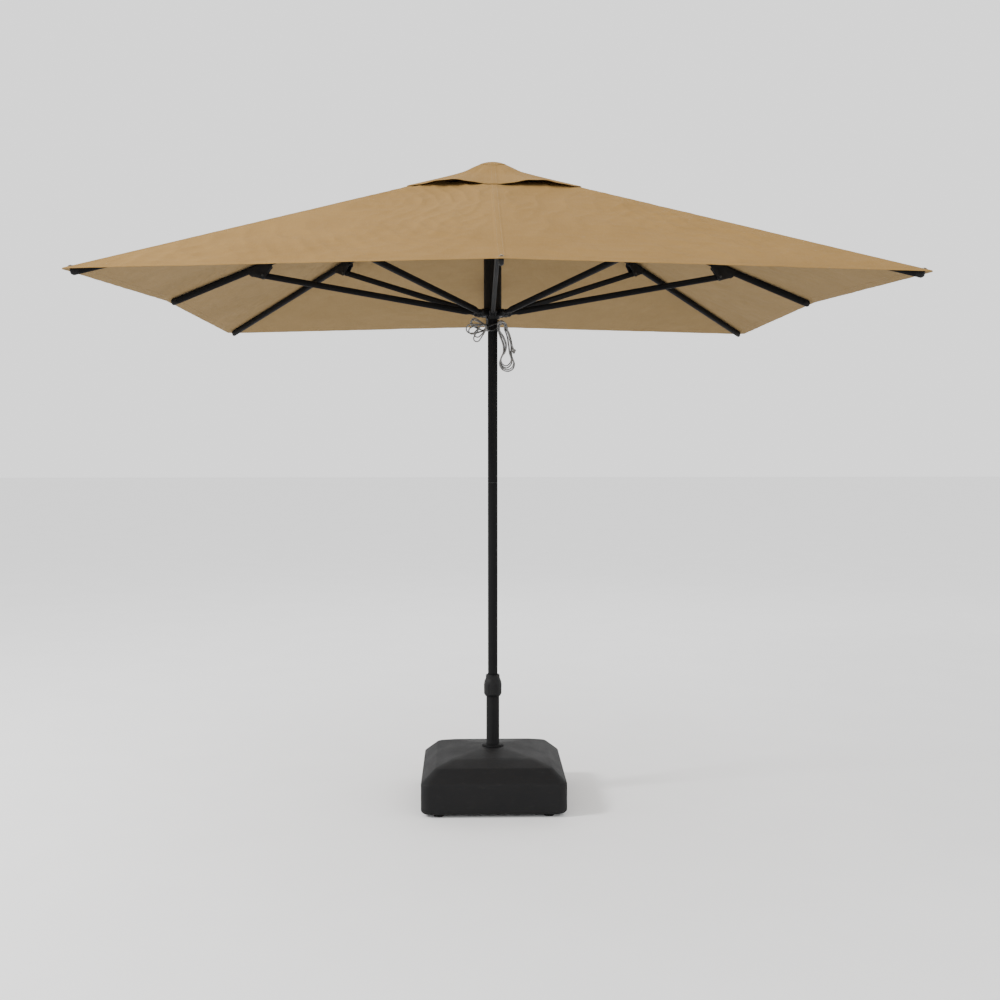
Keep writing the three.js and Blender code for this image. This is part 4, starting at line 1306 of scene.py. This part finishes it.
def make_feet():
    for corner in ("front_left", "front_right", "back_left", "back_right"):
        low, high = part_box("foot_" + corner)
        centre = (low + high) / 2

        def tread(angle, r, z):
            on_wall = 0.002 < z < high.z - 0.001 and r > 0.015
            return 0.0006 * (0.5 + 0.5 * math.cos(24 * angle)) * on_wall

        outline = rounded([(0, 0), (0.0175, 0), (0.02, 0.0028), (0.02, high.z), (0, high.z)], 0.0014)
        points, faces = lathe(outline, 96, tread)
        points = placed(points, Matrix.Translation((centre.x, centre.y, 0)))
        foot = as_object("foot_pad_" + corner, points, faces, [RUBBER])
        stands_for(outward(foot), "foot_" + corner, "foot_rubber")


def make_collar():
    low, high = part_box("twist_collar")
    z0, z1 = low.z, high.z
    seat = z1 - 0.016
    outline = [
        (0.0259, seat), (0.0259, z0), (0.029, z0), (0.0345, z0 + 0.009), (0.035, z0 + 0.046),
        (0.033, z0 + 0.058), (0.028, z0 + 0.070), (0.027, z1 - 0.002), (0.025, z1), (0.0196, z1),
        (0.0196, seat), (0.0259, seat),
    ]
    outline = rounded(outline, 0.0016, 4)[:-1]

    def grips(angle, r, z):
        if r < 0.0285 or not z0 + 0.008 < z < z0 + 0.050:
            return 0.0
        ends = min(1.0, (z - z0 - 0.008) / 0.005, (z0 + 0.050 - z) / 0.005)
        phase = (angle / (math.pi / 4) - 0.5) % 1.0
        off = min(phase, 1 - phase) * math.pi / 4 * 0.035
        groove = max(0.0, 1 - (off / 0.0042) ** 2)
        ribbing = 0.00025 * (0.5 + 0.5 * math.cos(96 * angle))
        return ends * (0.0021 * groove**0.8 + ribbing * (groove == 0.0))

    fine = [outline[0]]
    for a, b in zip(outline, outline[1:]):
        count = max(1, math.ceil(math.dist(a, b) / 0.0025))
        run, rise = b[0] - a[0], b[1] - a[1]
        fine += [(a[0] + run * k / count, a[1] + rise * k / count) for k in range(1, count + 1)]
    fine.append(outline[0])
    sides = 384
    points, faces = lathe(fine[:-1], sides, grips)
    faces += band((len(fine) - 2) * sides, 0, sides)
    collar = outward(as_object("collar_grip", points, faces, [BLACK_PLASTIC], sharp=60.0))
    stands_for(collar, "twist_collar", "black_plastic")


make_base()
make_feet()
make_collar()


# ---------- floor, light and finish ----------
FLOOR_HALF = 30.0
# each soft light: its name, place, target, side and power
LIGHTS = (
    ("key", (-4.8, -1.6, 4.0), (0, 0, 2.0), 1.0, 330.0),
    ("fill", (4.2, -4.4, 2.6), (0, 0, 1.9), 3.0, 50.0),
    ("back", (1.0, 5.0, 4.6), (0, 0, 1.8), 4.0, 60.0),
)


def make_studio():
    half = FLOOR_HALF
    corners = [(-half, -half, 0), (half, -half, 0), (half, half, 0), (-half, half, 0)]
    plane = as_object("floor", corners, [(0, 1, 2, 3)], [])
    look = Look("floor_paint")
    speckle = look.noise(3.0, 3.0, 0.5)
    look.colour(look.ramp(speckle, [(0.3, (0.86, 0.86, 0.86, 1)), (0.7, (0.88, 0.88, 0.88, 1))]))
    look.set(Roughness=0.9)
    plane.data.materials.append(look.material)

    world = bpy.data.worlds.new("world")
    bpy.context.scene.world = world
    world.use_nodes = True
    sky = world.node_tree.nodes["Background"]
    sky.inputs["Color"].default_value = (1.0, 1.0, 1.0, 1.0)
    sky.inputs["Strength"].default_value = 1.55

    for name, place, target, size, power in LIGHTS:
        data = bpy.data.lights.new(name, "AREA")
        data.energy = power
        data.size = size
        light = bpy.data.objects.new(name, data)
        bpy.context.scene.collection.objects.link(light)
        light.location = place
        light.rotation_mode = "QUATERNION"
        light.rotation_quaternion = (Vector(target) - Vector(place)).to_track_quat("-Z", "Y")


make_studio()
